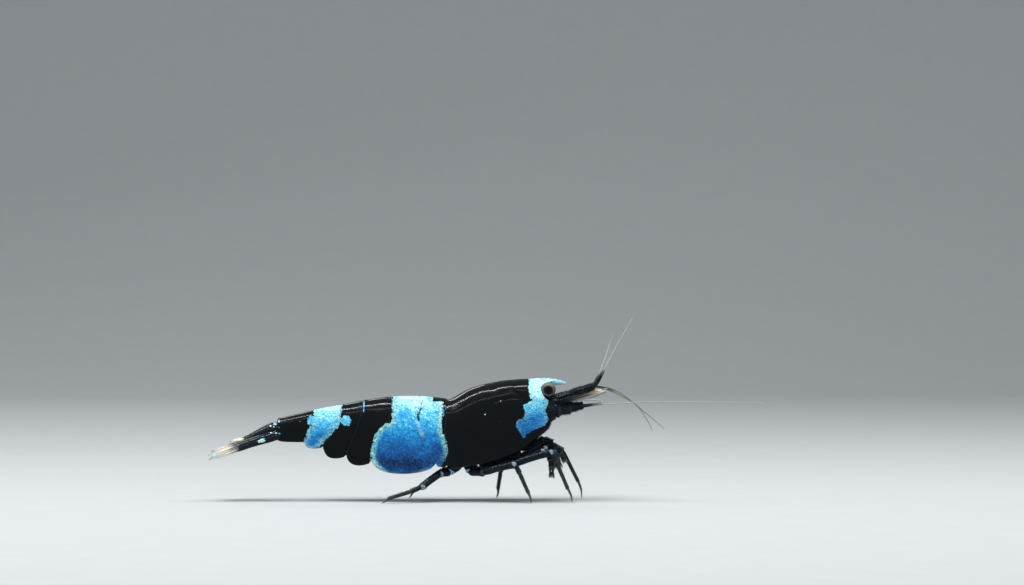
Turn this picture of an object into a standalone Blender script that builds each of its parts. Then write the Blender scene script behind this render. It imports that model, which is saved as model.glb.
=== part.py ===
"""A still, life-size freshwater dwarf shrimp (a blue and black bee shrimp), standing on its legs.

Lengths are in millimetres and become metres when a mesh is made. +X is the head, +Y the animal's
left and +Z up. The origin is on the floor, below the middle of the whole length.
"""

import math
from dataclasses import dataclass

import bmesh
import bpy
from mathutils import Vector

MM = 0.001
GAP = 0.1  # clear space between two neighbouring pieces
CLOSE_GAP = 0.04  # closer fit, between an eye and its stalk
SIDES = {"right": -1.0, "left": 1.0}

# Driving sizes
SHELL_WALL = 0.5  # thickness of a tail plate where it hangs beside the belly
GILL_WALL = 0.95  # thickness of the carapace side, which covers the gills
LAST_WALL = 0.3  # thickness of the last tail plate, which is nearly solid
WIDEST = 0.55  # how far down a ring is widest, as a part of its depth
CARAPACE_TUCK = 0.1  # how far each ring draws in below, as a part of its width
TAIL_TUCK = 0.08
LAST_TUCK = 0.45
EYE_RADIUS = 0.575
EYE_CENTRE = (4.66, 1.06, 8.62)
EYESTALK_ROOT = (4.02, 0.42, 8.36)
EYESTALK_RADIUS = 0.34
EYESTALK_TAPER = 0.86  # radius at its root, as a part of the radius at the eye
FEELER_RADIUS = 0.275
SWIMMERET_THICKNESS = 0.52
LEG_ROOT_OUT = 0.52  # how far the legs' roots are from the middle of the body
LEG_ROOT_RADIUS = 0.4

# How finely the pieces are drawn
TUBE_RESOLUTION = 2  # gives eight sides
TUBE_STEPS = 2  # to each stretch between two joints
BLADE_SIDES = 10
EYE_COLUMNS = 14
EYE_ROWS = 9
DOME_STEPS = 5
HEM_STEPS = 3
CARAPACE_STATIONS = (0.0, 0.05, 0.12, 0.2, 0.32, 0.46, 0.6, 0.74, 0.87, 0.95, 1.0)
TAIL_STATIONS = (0.0, 0.07, 0.22, 0.5, 0.78, 0.93, 1.0)
SETTLING_STEPS = 8  # tries at the height of a place on a ring
SHARP_ANGLE = math.radians(40.0)
WELD = 0.000001  # metres


class Profile:
    """A smooth line through a few (place, value) knots, level beyond both ends."""

    def __init__(self, *knots):
        ordered = sorted(knots)
        self.places = [place for place, _ in ordered]
        self.values = [value for _, value in ordered]

    def slope(self, index):
        """Slope of the line at a knot, from the knots beside it."""
        before = max(index - 1, 0)
        after = min(index + 1, len(self.places) - 1)
        run = self.places[after] - self.places[before]
        return (self.values[after] - self.values[before]) / run

    def __call__(self, place):
        if place <= self.places[0]:
            return self.values[0]
        if place >= self.places[-1]:
            return self.values[-1]
        index = max(i for i, start in enumerate(self.places) if start <= place)
        run = self.places[index + 1] - self.places[index]
        t = (place - self.places[index]) / run
        start = self.values[index]
        end = self.values[index + 1]
        bend_in = self.slope(index) * run
        bend_out = self.slope(index + 1) * run
        return (
            start * (2 * t**3 - 3 * t**2 + 1)
            + bend_in * (t**3 - 2 * t**2 + t)
            + end * (3 * t**2 - 2 * t**3)
            + bend_out * (t**3 - t**2)
        )


@dataclass(frozen=True)
class Seam:
    """Where two rings of shell meet: its x at each height, and the height of its lower corner."""

    line: Profile
    corner: float


@dataclass(frozen=True)
class Ring:
    """One ring of shell, open below along a channel for the belly."""

    name: str
    front: Seam
    rear: Seam
    top: Profile  # height of the back, along x
    half_width: Profile  # along x
    hem: Profile  # height of the lower edge, from 0 at the front seam to 1 at the rear
    wall: float
    tuck: float  # how much narrower the ring is at its hem than where it is widest
    stations: tuple
    channel_level: int


# The outline of the body
TAIL_TOP = Profile(
    (-16.1, 6.36), (-13.3, 7.03), (-11.1, 7.44), (-9.4, 7.78), (-7.3, 8.05), (-5.1, 8.07), (-3.0, 7.9)
)
CARAPACE_TOP = Profile((-3.0, 7.76), (-1.3, 8.68), (0.8, 9.21), (2.8, 9.4), (4.9, 9.32))
HALF_WIDTH = Profile(
    (-16.2, 0.82), (-13.4, 1.1), (-11.2, 1.4), (-9.4, 1.68), (-7.3, 1.93), (-5.1, 2.02), (-3.0, 2.0),
    (-1.0, 2.16), (1.2, 2.12), (3.0, 1.82), (4.2, 1.5), (4.9, 1.16)
)

NAPE = Seam(Profile((2.6, -3.06), (4.0, -2.98), (5.6, -3.2), (7.8, -3.02)), 2.86)
TAIL_SEAMS = (
    NAPE,
    Seam(Profile((2.9, -3.95), (4.4, -4.55), (5.4, -5.02), (6.6, -5.25), (8.0, -5.1)), 3.0),
    Seam(Profile((3.0, -8.86), (4.1, -8.86), (5.2, -8.45), (6.2, -7.55), (7.2, -7.28), (8.0, -7.3)), 3.2),
    Seam(Profile((3.5, -10.8), (4.6, -10.4), (5.9, -9.85), (7.8, -9.42)), 3.62),
    Seam(Profile((4.2, -12.6), (5.1, -11.85), (6.0, -11.3), (7.4, -11.12)), 4.25),
    Seam(Profile((4.4, -14.02), (5.1, -13.85), (5.9, -13.45), (7.0, -13.3)), 4.52),
    Seam(Profile((4.5, -16.1), (6.4, -16.04)), 4.72),
)
TAIL_HEM_LOWEST = (2.74, 2.22, 2.84, 3.36, 4.1, 4.56)
SNOUT = Seam(Profile((5.7, 4.74), (6.1, 4.86), (6.8, 4.74), (7.9, 4.76), (8.6, 4.7), (9.4, 4.78)), 5.95)
CARAPACE_HEM = Profile(
    (0.0, SNOUT.corner), (0.04, 5.6), (0.12, 5.02), (0.21, 4.42), (0.36, 3.72), (0.56, 3.18),
    (0.8, 2.8), (0.95, 2.62), (1.0, NAPE.corner)
)


def ring_levels(tuck):
    """Yield (depth, width) down one side of a ring, both as a part of the whole."""
    for step in range(DOME_STEPS + 1):
        angle = math.radians(90.0) * step / DOME_STEPS
        yield WIDEST * (1.0 - math.cos(angle)), math.sin(angle)
    for step in range(1, HEM_STEPS + 1):
        below = step / HEM_STEPS
        yield WIDEST + (1.0 - WIDEST) * below, 1.0 - tuck * below**2


def ring_point(ring, along, depth):
    """Place (x, z) on a ring, a part of the way from front to rear and from back to hem.

    The seams slant, so x depends on the height and the height on x, and both are found in steps.
    """
    x = ring.front.line(ring.front.corner)
    for _ in range(SETTLING_STEPS):
        z = ring.top(x) + depth * (ring.hem(along) - ring.top(x))
        front = ring.front.line(z) - GAP / 2
        rear = ring.rear.line(z) + GAP / 2
        x = front + (rear - front) * along
    return x, z


def ring_section(ring, along):
    """The points of one cross-section: a row for each level, from the left side to the right."""
    rows = []
    for level, (depth, width) in enumerate(ring_levels(ring.tuck)):
        x, z = ring_point(ring, along, depth)
        outer = ring.half_width(x) * width
        if level == 0:
            rows.append([(x, 0.0, z)])
        elif level < ring.channel_level:
            rows.append([(x, outer, z), (x, -outer, z)])
        elif level == ring.channel_level:
            inner = outer - ring.wall
            rows.append([(x, outer, z), (x, inner, z), (x, 0.0, z), (x, -inner, z), (x, -outer, z)])
        else:
            inner = outer - ring.wall
            rows.append([(x, outer, z), (x, inner, z), (x, -inner, z), (x, -outer, z)])
    return rows


def outline_of(rows):
    """Walk once round a section: down the right side, along the belly and up the left side."""
    left = [row[0] for row in rows[1:]]
    right = [row[-1] for row in rows[1:]]
    inside = [row for row in rows if len(row) > 2]
    roof = inside[0]
    left_wall = [row[1] for row in inside]
    right_wall = [row[-2] for row in inside]
    return [rows[0][0], *right, *reversed(right_wall), roof[2], *left_wall, *reversed(left)]


def cap_faces(rows):
    """Faces that close a section in level bands, so that two facing ends stay the same shape."""
    yield [rows[0][0], rows[1][0], rows[1][1]]
    for upper, lower in zip(rows[1:], rows[2:]):
        if len(upper) == 2:
            yield [upper[0], *lower, upper[1]]
        else:
            yield [upper[0], lower[0], lower[1], upper[1]]
            yield [upper[-2], lower[-2], lower[-1], upper[-1]]


def new_object(name, bm, material):
    """Turn a bmesh in millimetres into a named object in metres."""
    bmesh.ops.recalc_face_normals(bm, faces=bm.faces)
    bmesh.ops.scale(bm, vec=(MM, MM, MM), verts=bm.verts)
    mesh = bpy.data.meshes.new(name)
    bm.to_mesh(mesh)
    bm.free()
    mesh.shade_smooth()
    mesh.set_sharp_from_angle(angle=SHARP_ANGLE)
    mesh.materials.append(material)
    made = bpy.data.objects.new(name, mesh)
    PARTS.objects.link(made)
    return made


def shell_ring(ring, material):
    """A ring of shell: a loft of sections, closed at the front and the rear."""
    bm = bmesh.new()
    found = {}

    def vertex(point):
        if point not in found:
            found[point] = bm.verts.new(point)
        return found[point]

    sections = [ring_section(ring, along) for along in ring.stations]
    outlines = [outline_of(rows) for rows in sections]
    for here, there in zip(outlines, outlines[1:]):
        for index, point in enumerate(here):
            corners = (point, here[index - 1], there[index - 1], there[index])
            bm.faces.new([vertex(corner) for corner in corners])
    for rows in (sections[0], sections[-1]):
        for corners in cap_faces(rows):
            bm.faces.new([vertex(corner) for corner in corners])
    return new_object(ring.name, bm, material)


def blade(name, line, across, material):
    """A long flat piece: oval sections along a line of (x, y, z, width, thickness).

    The widths are measured along the direction across.
    """
    bm = bmesh.new()
    across = Vector(across).normalized()
    points = [Vector(place[:3]) for place in line]
    loops = []
    for index, (centre, (*_, width, thickness)) in enumerate(zip(points, line)):
        ahead = points[min(index + 1, len(points) - 1)]
        behind = points[max(index - 1, 0)]
        rise = (ahead - behind).cross(across).normalized()
        loop = []
        for side in range(BLADE_SIDES):
            angle = math.tau * side / BLADE_SIDES
            flat = across * (width / 2 * math.cos(angle))
            thick = rise * (thickness / 2 * math.sin(angle))
            loop.append(bm.verts.new(centre + flat + thick))
        loops.append(loop)
    for here, there in zip(loops, loops[1:]):
        for side in range(BLADE_SIDES):
            bm.faces.new((here[side], here[side - 1], there[side - 1], there[side]))
    bm.faces.new(loops[0])
    bm.faces.new(loops[-1])
    return new_object(name, bm, material)


def smooth_route(joints, steps):
    """Points of a smooth curve through the joints, each joint being (x, y, z, radius)."""
    knots = [Vector(joint) for joint in joints]
    ends = [2 * knots[0] - knots[1], *knots, 2 * knots[-1] - knots[-2]]
    route = [knots[0]]
    for index in range(1, len(knots)):
        before, start, end, after = ends[index - 1 : index + 3]
        for step in range(1, steps + 1):
            t = step / steps
            route.append(
                0.5 * (
                    2 * start
                    + (end - before) * t
                    + (2 * before - 5 * start + 4 * end - after) * t**2
                    + (3 * start - before - 3 * end + after) * t**3
                )
            )
    return route


def tube(name, joints, material, steps=TUBE_STEPS, foot=False):
    """A tapering round limb or feeler along a smooth route. A foot ends in a level flat."""
    route = smooth_route(joints, steps)
    if foot:
        x, y, _, radius = route[-1]
        route.append(Vector((x, y, 0.0, radius)))
    curve = bpy.data.curves.new(name, "CURVE")
    curve.dimensions = "3D"
    curve.twist_mode = "MINIMUM"
    curve.bevel_depth = MM
    curve.bevel_resolution = TUBE_RESOLUTION
    curve.use_fill_caps = True
    spline = curve.splines.new("POLY")
    spline.points.add(len(route) - 1)
    for point, (x, y, z, radius) in zip(spline.points, route):
        point.co = (x * MM, y * MM, z * MM, 1.0)
        point.radius = radius
    spline.use_smooth = True
    curve.materials.append(material)
    made = bpy.data.objects.new(name, curve)
    PARTS.objects.link(made)
    return made


def mirrored(points, side):
    """Put points that were given for the left side on the named side."""
    return [(x, y * SIDES[side], *rest) for x, y, *rest in points]


def ball(name, centre, radius, material):
    """A round ball, such as an eye."""
    bm = bmesh.new()
    bmesh.ops.create_uvsphere(bm, u_segments=EYE_COLUMNS, v_segments=EYE_ROWS, radius=radius)
    bmesh.ops.translate(bm, vec=centre, verts=bm.verts)
    return new_object(name, bm, material)


def as_mesh(curved):
    """Turn a curve object into a mesh object with welded caps, and return the new object."""
    graph = bpy.context.evaluated_depsgraph_get()
    mesh = bpy.data.meshes.new_from_object(curved.evaluated_get(graph))
    bm = bmesh.new()
    bm.from_mesh(mesh)
    bmesh.ops.remove_doubles(bm, verts=bm.verts, dist=WELD)
    bm.to_mesh(mesh)
    bm.free()
    name = curved.name
    matrix = curved.matrix_world.copy()
    bpy.data.objects.remove(curved, do_unlink=True)
    made = bpy.data.objects.new(name, mesh)
    made.matrix_world = matrix
    PARTS.objects.link(made)
    return made


def boolean(target, other, operation):
    """Join an object to a piece, or cut the piece with it. The object becomes a hidden helper."""
    PARTS.objects.unlink(other)
    CUTTERS.objects.link(other)
    other.hide_render = True
    other.display_type = "WIRE"
    modifier = target.modifiers.new(f"{operation} {other.name}", "BOOLEAN")
    modifier.object = other
    modifier.operation = operation
    modifier.solver = "EXACT"


def principled(name, colour, roughness):
    """A plain material with one colour."""
    material = bpy.data.materials.new(name)
    material.use_nodes = True
    shader = material.node_tree.nodes["Principled BSDF"]
    shader.inputs["Base Color"].default_value = (*colour, 1.0)
    shader.inputs["Roughness"].default_value = roughness
    material.diffuse_color = (*colour, 1.0)
    return material


def clear_scene():
    """Remove whatever the file opened with."""
    for existing in list(bpy.data.objects):
        bpy.data.objects.remove(existing, do_unlink=True)


def new_collection(name):
    """A collection in the scene."""
    made = bpy.data.collections.new(name)
    bpy.context.scene.collection.children.link(made)
    return made


# ---------------------------------------------------------------- the shell of the body


ROSTRUM_LINE = (
    (2.7, 0, 9.2, 0.3, 0.5), (3.6, 0, 9.18, 0.5, 0.56), (4.4, 0, 9.16, 0.52, 0.54),
    (5.1, 0, 9.12, 0.44, 0.42), (5.65, 0, 9.09, 0.3, 0.28), (6.08, 0, 9.07, 0.08, 0.08),
)
SOCKET_ROOM = 0.14  # clear space round an eye and its stalk
SOCKET_RADIUS = EYESTALK_RADIUS + SOCKET_ROOM
SOCKET_ROUTE = (
    (3.7, 0.16, 8.24, SOCKET_RADIUS), (4.2, 0.56, 8.4, SOCKET_RADIUS), (5.3, 1.5, 8.8, SOCKET_RADIUS),
)


def make_carapace(shell):
    """The shield over head and chest, with its rostrum in front and a hollow for each eye."""
    ring = Ring(
        name="carapace",
        front=SNOUT,
        rear=NAPE,
        top=CARAPACE_TOP,
        half_width=HALF_WIDTH,
        hem=CARAPACE_HEM,
        wall=GILL_WALL,
        tuck=CARAPACE_TUCK,
        stations=CARAPACE_STATIONS,
        channel_level=DOME_STEPS + 1,
    )
    carapace = shell_ring(ring, shell)
    for side in SIDES:
        (centre,) = mirrored((EYE_CENTRE,), side)
        orbit = ball(f"cutter_orbit_{side}", centre, EYE_RADIUS + SOCKET_ROOM, shell)
        socket = as_mesh(tube(f"cutter_socket_{side}", mirrored(SOCKET_ROUTE, side), shell, steps=1))
        boolean(carapace, orbit, "DIFFERENCE")
        boolean(carapace, socket, "DIFFERENCE")
    boolean(carapace, blade("joined_rostrum", ROSTRUM_LINE, (0, 0, 1), shell), "UNION")


# Lower edge of a tail ring: place along it, and height as a part of its nearer corner's
TAIL_LOBE = ((0.0, 1.0), (0.07, 0.45), (0.22, 0.08), (0.5, 0.0), (0.78, 0.08), (0.93, 0.45), (1.0, 1.0))


def tail_hem(front, lowest, rear):
    """Lower edge of a tail ring: a lobe between its two corners."""
    knots = []
    for place, share in TAIL_LOBE:
        corner = front if place < 0.5 else rear
        knots.append((place, lowest + share * (corner - lowest)))
    return Profile(*knots)


def make_tail_rings(shell, blue):
    """The six rings of the tail. Each side of the second is a big round lobe."""
    seams = zip(TAIL_SEAMS, TAIL_SEAMS[1:])
    for number, ((front, rear), lowest) in enumerate(zip(seams, TAIL_HEM_LOWEST), start=1):
        last = number == len(TAIL_HEM_LOWEST)
        ring = Ring(
            name=f"abdomen_{number}",
            front=front,
            rear=rear,
            top=TAIL_TOP,
            half_width=HALF_WIDTH,
            hem=tail_hem(front.corner, lowest, rear.corner),
            wall=LAST_WALL if last else SHELL_WALL,
            tuck=LAST_TUCK if last else TAIL_TUCK,
            stations=TAIL_STATIONS,
            channel_level=DOME_STEPS + (HEM_STEPS if last else 1),
        )
        shell_ring(ring, blue if number in (1, 2, 5) else shell)


THORAX_STATIONS = (-2.9, -1.6, -0.2, 1.2, 2.5, 3.5, 4.2)
THORAX_LOW = Profile((-2.9, 2.95), (-0.2, 3.2), (1.2, 3.45), (2.5, 4.05), (3.5, 4.85), (4.2, 5.45))
THORAX_HIGH = Profile((-2.9, 4.0), (-0.2, 4.78), (1.2, 5.0), (2.5, 5.4), (3.5, 6.05), (4.2, 6.5))
THORAX_WIDTH = Profile((-2.9, 1.68), (0.0, 1.9), (1.5, 1.8), (3.0, 1.44), (4.2, 0.7))


def make_thorax(flesh):
    """The underside of head and chest, which fills the channel and carries the legs."""
    line = []
    for x in THORAX_STATIONS:
        low = THORAX_LOW(x)
        high = THORAX_HIGH(x)
        line.append((x, 0, (low + high) / 2, THORAX_WIDTH(x), high - low))
    blade("thorax", line, (0, 1, 0), flesh)


# ---------------------------------------------------------------- the tail fan and belly

# Middle line of each blade of the tail fan, as (x, distance out, height, width, thickness)
TELSON_LINE = (
    (-16.22, 0.0, 5.9, 1.3, 0.84), (-17.1, 0.0, 5.48, 1.2, 0.74), (-17.9, 0.0, 5.08, 1.0, 0.6),
    (-18.7, 0.0, 4.72, 0.8, 0.52), (-19.3, 0.0, 4.5, 0.5, 0.5),
)
INNER_UROPOD_LINE = (
    (-16.26, 0.36, 5.16, 0.5, 0.5), (-17.2, 0.4, 4.84, 0.64, 0.52), (-18.4, 0.5, 4.4, 0.84, 0.52),
    (-19.6, 0.56, 4.02, 0.9, 0.52), (-20.5, 0.58, 3.77, 0.74, 0.51), (-21.05, 0.56, 3.62, 0.36, 0.5),
)
OUTER_UROPOD_LINE = (
    (-16.22, 0.74, 4.98, 0.56, 0.62), (-17.2, 1.0, 4.6, 0.7, 0.58), (-18.4, 1.34, 4.18, 0.86, 0.52),
    (-19.6, 1.54, 3.88, 0.92, 0.52), (-20.8, 1.6, 3.6, 0.76, 0.51), (-21.36, 1.56, 3.48, 0.38, 0.5),
)
OUTER_UROPOD_ROLL = -0.3  # its outer edge hangs lower

# Each pair of swimmerets: x and height of its root, distance out, width and length
SWIMMERETS = (
    (-4.0, 3.75, 0.5, 0.72, 1.05), (-6.2, 3.75, 0.5, 0.72, 1.3), (-8.85, 4.0, 0.5, 0.72, 1.05),
    (-10.95, 4.4, 0.36, 0.5, 0.95), (-12.95, 4.95, 0.34, 0.46, 0.8),
)
# How each goes forward and down, as parts of its length, and its width there as a part of its widest
SWIMMERET_SHAPE = ((0.0, 0.0, 0.6), (0.12, 0.5, 1.0), (0.45, 0.95, 0.7))


def make_tail_fan(shell, fan):
    """The telson, with the inner and outer uropods folded together beneath it."""
    blade("telson", TELSON_LINE, (0, 1, 0), shell)
    for side, sign in SIDES.items():
        inner = mirrored(INNER_UROPOD_LINE, side)
        outer = mirrored(OUTER_UROPOD_LINE, side)
        blade(f"uropod_inner_{side}", inner, (0, 1, 0), fan)
        blade(f"uropod_outer_{side}", outer, (0, 1, OUTER_UROPOD_ROLL * sign), fan)


def make_swimmerets(flesh):
    """Five pairs of flat swimming legs, which slant forward in the belly channel."""
    for number, (x, z, out, width, length) in enumerate(SWIMMERETS, start=1):
        line = [
            (x + forward * length, out, z - down * length, wide * width, SWIMMERET_THICKNESS)
            for forward, down, wide in SWIMMERET_SHAPE
        ]
        for side in SIDES:
            blade(f"swimmeret_{number}_{side}", mirrored(line, side), (0, 1, 0), flesh)


# ---------------------------------------------------------------- the head

# Routes of the head's limbs, as (x, distance out, height, radius)
ANTENNULE_ROUTE = (
    (4.9, 0.42, 7.86, 0.4), (6.2, 0.45, 8.14, 0.38), (7.3, 0.5, 8.52, 0.36), (8.16, 0.54, 8.82, 0.32),
)
ANTENNA_ROUTE = (
    (4.96, 0.98, 6.9, 0.5), (5.6, 1.0, 6.98, 0.46), (6.4, 1.02, 7.1, 0.38), (7.2, 1.04, 7.26, 0.33),
)
MAXILLIPED_ROUTE = (
    (2.75, 0.36, 4.0, 0.3), (3.3, 0.36, 4.1, 0.3), (4.3, 0.36, 4.78, 0.29),
    (4.85, 0.36, 4.7, 0.28), (5.0, 0.36, 4.0, 0.26),
)

# Middle line of the feeler scale, as (x, distance out, height, width, thickness)
SCALE_LINE = (
    (5.3, 1.32, 7.72, 0.56, 0.52), (6.2, 1.42, 7.86, 0.86, 0.52), (7.2, 1.46, 8.06, 0.98, 0.52),
    (8.2, 1.4, 8.3, 0.86, 0.52), (9.0, 1.26, 8.5, 0.4, 0.52),
)

# Routes of the thin feelers, as (x, distance out, height). The two sides are held differently.
FEELER_ROUTES = {
    ("antennule_outer", "right"): (
        (8.38, 0.64, 9.1), (8.75, 0.74, 9.75), (9.15, 0.84, 10.5), (10.15, 1.06, 12.4), (11.12, 1.3, 14.1),
    ),
    ("antennule_outer", "left"): (
        (8.36, 0.66, 9.14), (8.7, 0.78, 9.95), (9.12, 0.94, 11.1), (9.65, 1.1, 12.75),
    ),
    ("antennule_inner", "right"): (
        (8.5, 0.42, 8.72), (9.5, 0.5, 8.62), (10.5, 0.6, 8.34), (12.27, 0.86, 7.1), (13.55, 1.1, 5.8),
    ),
    ("antennule_inner", "left"): (
        (8.5, 0.42, 8.72), (9.5, 0.5, 8.48), (11.3, 0.7, 7.7), (12.2, 0.84, 6.5), (12.75, 0.95, 5.35),
    ),
    ("antenna_flagellum", "right"): (
        (7.34, 1.06, 7.3), (9.1, 1.45, 7.5), (12.38, 2.6, 7.71), (16.75, 4.05, 7.76), (20.9, 5.3, 7.75),
    ),
    ("antenna_flagellum", "left"): (
        (7.34, 1.06, 7.3), (8.3, 1.5, 7.42), (8.95, 2.6, 7.55), (8.4, 3.9, 7.62), (6.3, 4.9, 7.55),
        (3.2, 5.4, 7.3), (-0.4, 5.6, 6.9), (-3.9, 5.6, 6.35),
    ),
}


def make_eyes(eye, flesh):
    """Two round eyes on short stalks, beside the rostrum."""
    for side in SIDES:
        centre, root = mirrored((EYE_CENTRE, EYESTALK_ROOT), side)
        ball(f"eye_{side}", centre, EYE_RADIUS, eye)
        run = Vector(centre) - Vector(root)
        end = Vector(centre) - run.normalized() * (EYE_RADIUS + CLOSE_GAP)
        stalk = ((*root, EYESTALK_RADIUS * EYESTALK_TAPER), (*end, EYESTALK_RADIUS))
        tube(f"eyestalk_{side}", stalk, flesh, steps=1)


def make_head_limbs(stem, feeler, scale):
    """Antennules above, antennae with their scales below, and the feeding legs by the mouth."""
    for side in SIDES:
        tube(f"antennule_{side}", mirrored(ANTENNULE_ROUTE, side), stem)
        tube(f"antenna_{side}", mirrored(ANTENNA_ROUTE, side), stem)
        tube(f"maxilliped_{side}", mirrored(MAXILLIPED_ROUTE, side), stem)
        blade(f"antenna_scale_{side}", mirrored(SCALE_LINE, side), (0, 1, 0), scale)
    for (name, side), route in FEELER_ROUTES.items():
        joints = [(*point, FEELER_RADIUS) for point in route]
        tube(f"{name}_{side}", mirrored(joints, side), feeler)


# ---------------------------------------------------------------- the legs

# Root of each pair of legs: x and height
LEG_ROOTS = {1: (1.95, 3.42), 2: (0.95, 3.1), 3: (-0.15, 2.9), 4: (-1.3, 2.8), 5: (-2.4, 2.72)}

# Joints of the legs after their roots, as (x, distance out, height, radius)
FEEDING_LEGS = {
    (1, "right"): (
        (2.4, 0.66, 3.24, 0.33), (3.3, 0.86, 3.66, 0.29), (4.5, 0.95, 4.1, 0.3),
        (4.9, 0.96, 3.2, 0.3), (4.92, 0.96, 2.1, 0.27),
    ),
    (1, "left"): (
        (2.4, 0.66, 3.24, 0.33), (3.3, 0.86, 3.66, 0.29), (4.6, 0.96, 4.3, 0.3),
        (5.15, 1.0, 3.6, 0.3), (5.3, 1.0, 2.7, 0.27),
    ),
    (2, "right"): (
        (1.3, 0.86, 2.7, 0.3), (2.6, 1.34, 3.24, 0.28), (4.3, 1.56, 3.9, 0.28),
        (5.2, 1.58, 3.75, 0.28), (5.5, 1.58, 2.9, 0.27),
    ),
    (2, "left"): (
        (1.3, 0.86, 2.7, 0.3), (2.6, 1.34, 3.26, 0.28), (4.2, 1.58, 4.12, 0.28),
        (5.4, 1.62, 4.0, 0.28), (5.9, 1.62, 3.1, 0.27),
    ),
}
WALKING_LEGS = {
    (3, "right"): (
        (0.0, 0.86, 2.46, 0.34), (2.0, 1.96, 2.94, 0.3), (4.9, 2.2, 3.84, 0.3),
        (5.6, 2.3, 2.5, 0.28), (6.42, 2.4, 0.36, 0.27),
    ),
    (3, "left"): (
        (0.0, 0.86, 2.46, 0.34), (2.2, 2.0, 3.1, 0.3), (5.0, 2.24, 4.3, 0.3),
        (6.6, 2.34, 3.3, 0.28), (7.25, 2.44, 0.36, 0.27),
    ),
    (4, "right"): (
        (-1.35, 0.8, 2.28, 0.38), (-0.3, 1.6, 2.28, 0.34), (2.1, 2.68, 2.96, 0.3),
        (2.8, 2.84, 1.7, 0.28), (3.3, 2.95, 0.36, 0.27),
    ),
    (4, "left"): (
        (-1.35, 0.8, 2.28, 0.38), (-0.6, 1.7, 2.28, 0.34), (1.0, 2.8, 2.7, 0.3),
        (1.0, 3.05, 1.5, 0.28), (0.7, 3.15, 0.36, 0.27),
    ),
    (5, "right"): (
        (-2.86, 0.76, 2.26, 0.38), (-3.6, 1.1, 2.2, 0.33), (-5.0, 2.1, 1.2, 0.3),
        (-6.6, 2.7, 0.56, 0.27), (-7.95, 3.0, 0.3, 0.27),
    ),
    (5, "left"): (
        (-2.8, 0.76, 2.26, 0.38), (-3.4, 1.2, 2.24, 0.33), (-4.4, 2.3, 1.5, 0.3),
        (-5.4, 2.9, 0.8, 0.27), (-6.1, 3.2, 0.36, 0.27),
    ),
}


def make_legs(limb):
    """Two pairs of small feeding legs, and three pairs of walking legs, which reach the floor."""
    for legs, foot in ((FEEDING_LEGS, False), (WALKING_LEGS, True)):
        for (number, side), joints in legs.items():
            x, z = LEG_ROOTS[number]
            root = (x, LEG_ROOT_OUT, z, LEG_ROOT_RADIUS)
            tube(f"leg_{number}_{side}", mirrored((root, *joints), side), limb, foot=foot)


def main():
    """Build the shrimp."""
    shell = principled("black shell", (0.008, 0.010, 0.016), 0.22)
    blue = principled("blue shell", (0.05, 0.33, 0.72), 0.3)
    flesh = principled("dark flesh", (0.02, 0.022, 0.03), 0.4)
    limb = principled("dark limb", (0.014, 0.018, 0.028), 0.35)
    feeler = principled("feeler", (0.16, 0.16, 0.14), 0.4)
    scale = principled("feeler scale", (0.22, 0.17, 0.1), 0.35)
    eye = principled("eye", (0.07, 0.05, 0.04), 0.15)
    fan = principled("tail fan", (0.45, 0.47, 0.45), 0.35)
    make_carapace(shell)
    make_tail_rings(shell, blue)
    make_thorax(flesh)
    make_tail_fan(shell, fan)
    make_swimmerets(flesh)
    make_eyes(eye, flesh)
    make_head_limbs(limb, feeler, scale)
    make_legs(limb)


clear_scene()
PARTS = new_collection("shrimp")
CUTTERS = new_collection("cutters")
main()
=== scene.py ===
"""Looks of a life-size bee shrimp that stands still on its six walking legs.

Sizes are given in plan units, each a thousandth of a metre at full size, and Plan turns them into
the frame's metres. X runs to the head, Y to the left and Z up from the floor.
"""

import logging
import math
from dataclasses import dataclass
from enum import Enum
from typing import Callable, Iterable, Sequence

import bpy
import numpy as np
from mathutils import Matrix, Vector


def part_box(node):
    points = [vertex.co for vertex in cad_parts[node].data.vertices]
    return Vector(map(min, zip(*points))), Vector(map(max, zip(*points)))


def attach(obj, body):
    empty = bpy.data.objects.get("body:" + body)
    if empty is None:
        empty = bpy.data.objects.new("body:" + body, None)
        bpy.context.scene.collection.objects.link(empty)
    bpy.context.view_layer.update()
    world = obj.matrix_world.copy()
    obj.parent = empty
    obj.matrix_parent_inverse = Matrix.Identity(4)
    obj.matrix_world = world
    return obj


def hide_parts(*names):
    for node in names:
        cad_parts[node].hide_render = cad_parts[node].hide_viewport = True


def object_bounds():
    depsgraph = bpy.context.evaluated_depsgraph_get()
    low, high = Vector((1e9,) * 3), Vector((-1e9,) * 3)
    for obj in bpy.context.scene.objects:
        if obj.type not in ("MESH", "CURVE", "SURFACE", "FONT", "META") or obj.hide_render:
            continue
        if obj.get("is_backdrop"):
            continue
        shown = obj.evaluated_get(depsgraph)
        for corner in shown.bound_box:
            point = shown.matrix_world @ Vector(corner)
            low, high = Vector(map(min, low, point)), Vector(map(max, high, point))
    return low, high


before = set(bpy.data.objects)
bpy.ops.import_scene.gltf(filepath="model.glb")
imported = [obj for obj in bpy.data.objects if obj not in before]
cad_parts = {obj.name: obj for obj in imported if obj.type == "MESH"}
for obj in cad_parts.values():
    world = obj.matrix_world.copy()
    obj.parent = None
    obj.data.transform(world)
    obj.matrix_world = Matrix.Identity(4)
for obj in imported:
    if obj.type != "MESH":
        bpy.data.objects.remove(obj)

log = logging.getLogger("bee_shrimp")

Socket = bpy.types.NodeSocket
Material = bpy.types.Material
Object = bpy.types.Object
Array = np.ndarray
Colour = tuple[float, float, float, float]
BODY = "root"
ACROSS = (0.0, 1.0, 0.0)
CARAPACE_LENGTH = 9.226  # from the tip of the beak to the nape, in plan units


class Side(Enum):
    """A side of the body, with the sign of its distances out."""

    RIGHT = -1.0
    LEFT = 1.0

    @property
    def word(self) -> str:
        """The side's name in the names of nodes and pieces."""
        return self.name.lower()


# ---- measures


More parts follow.
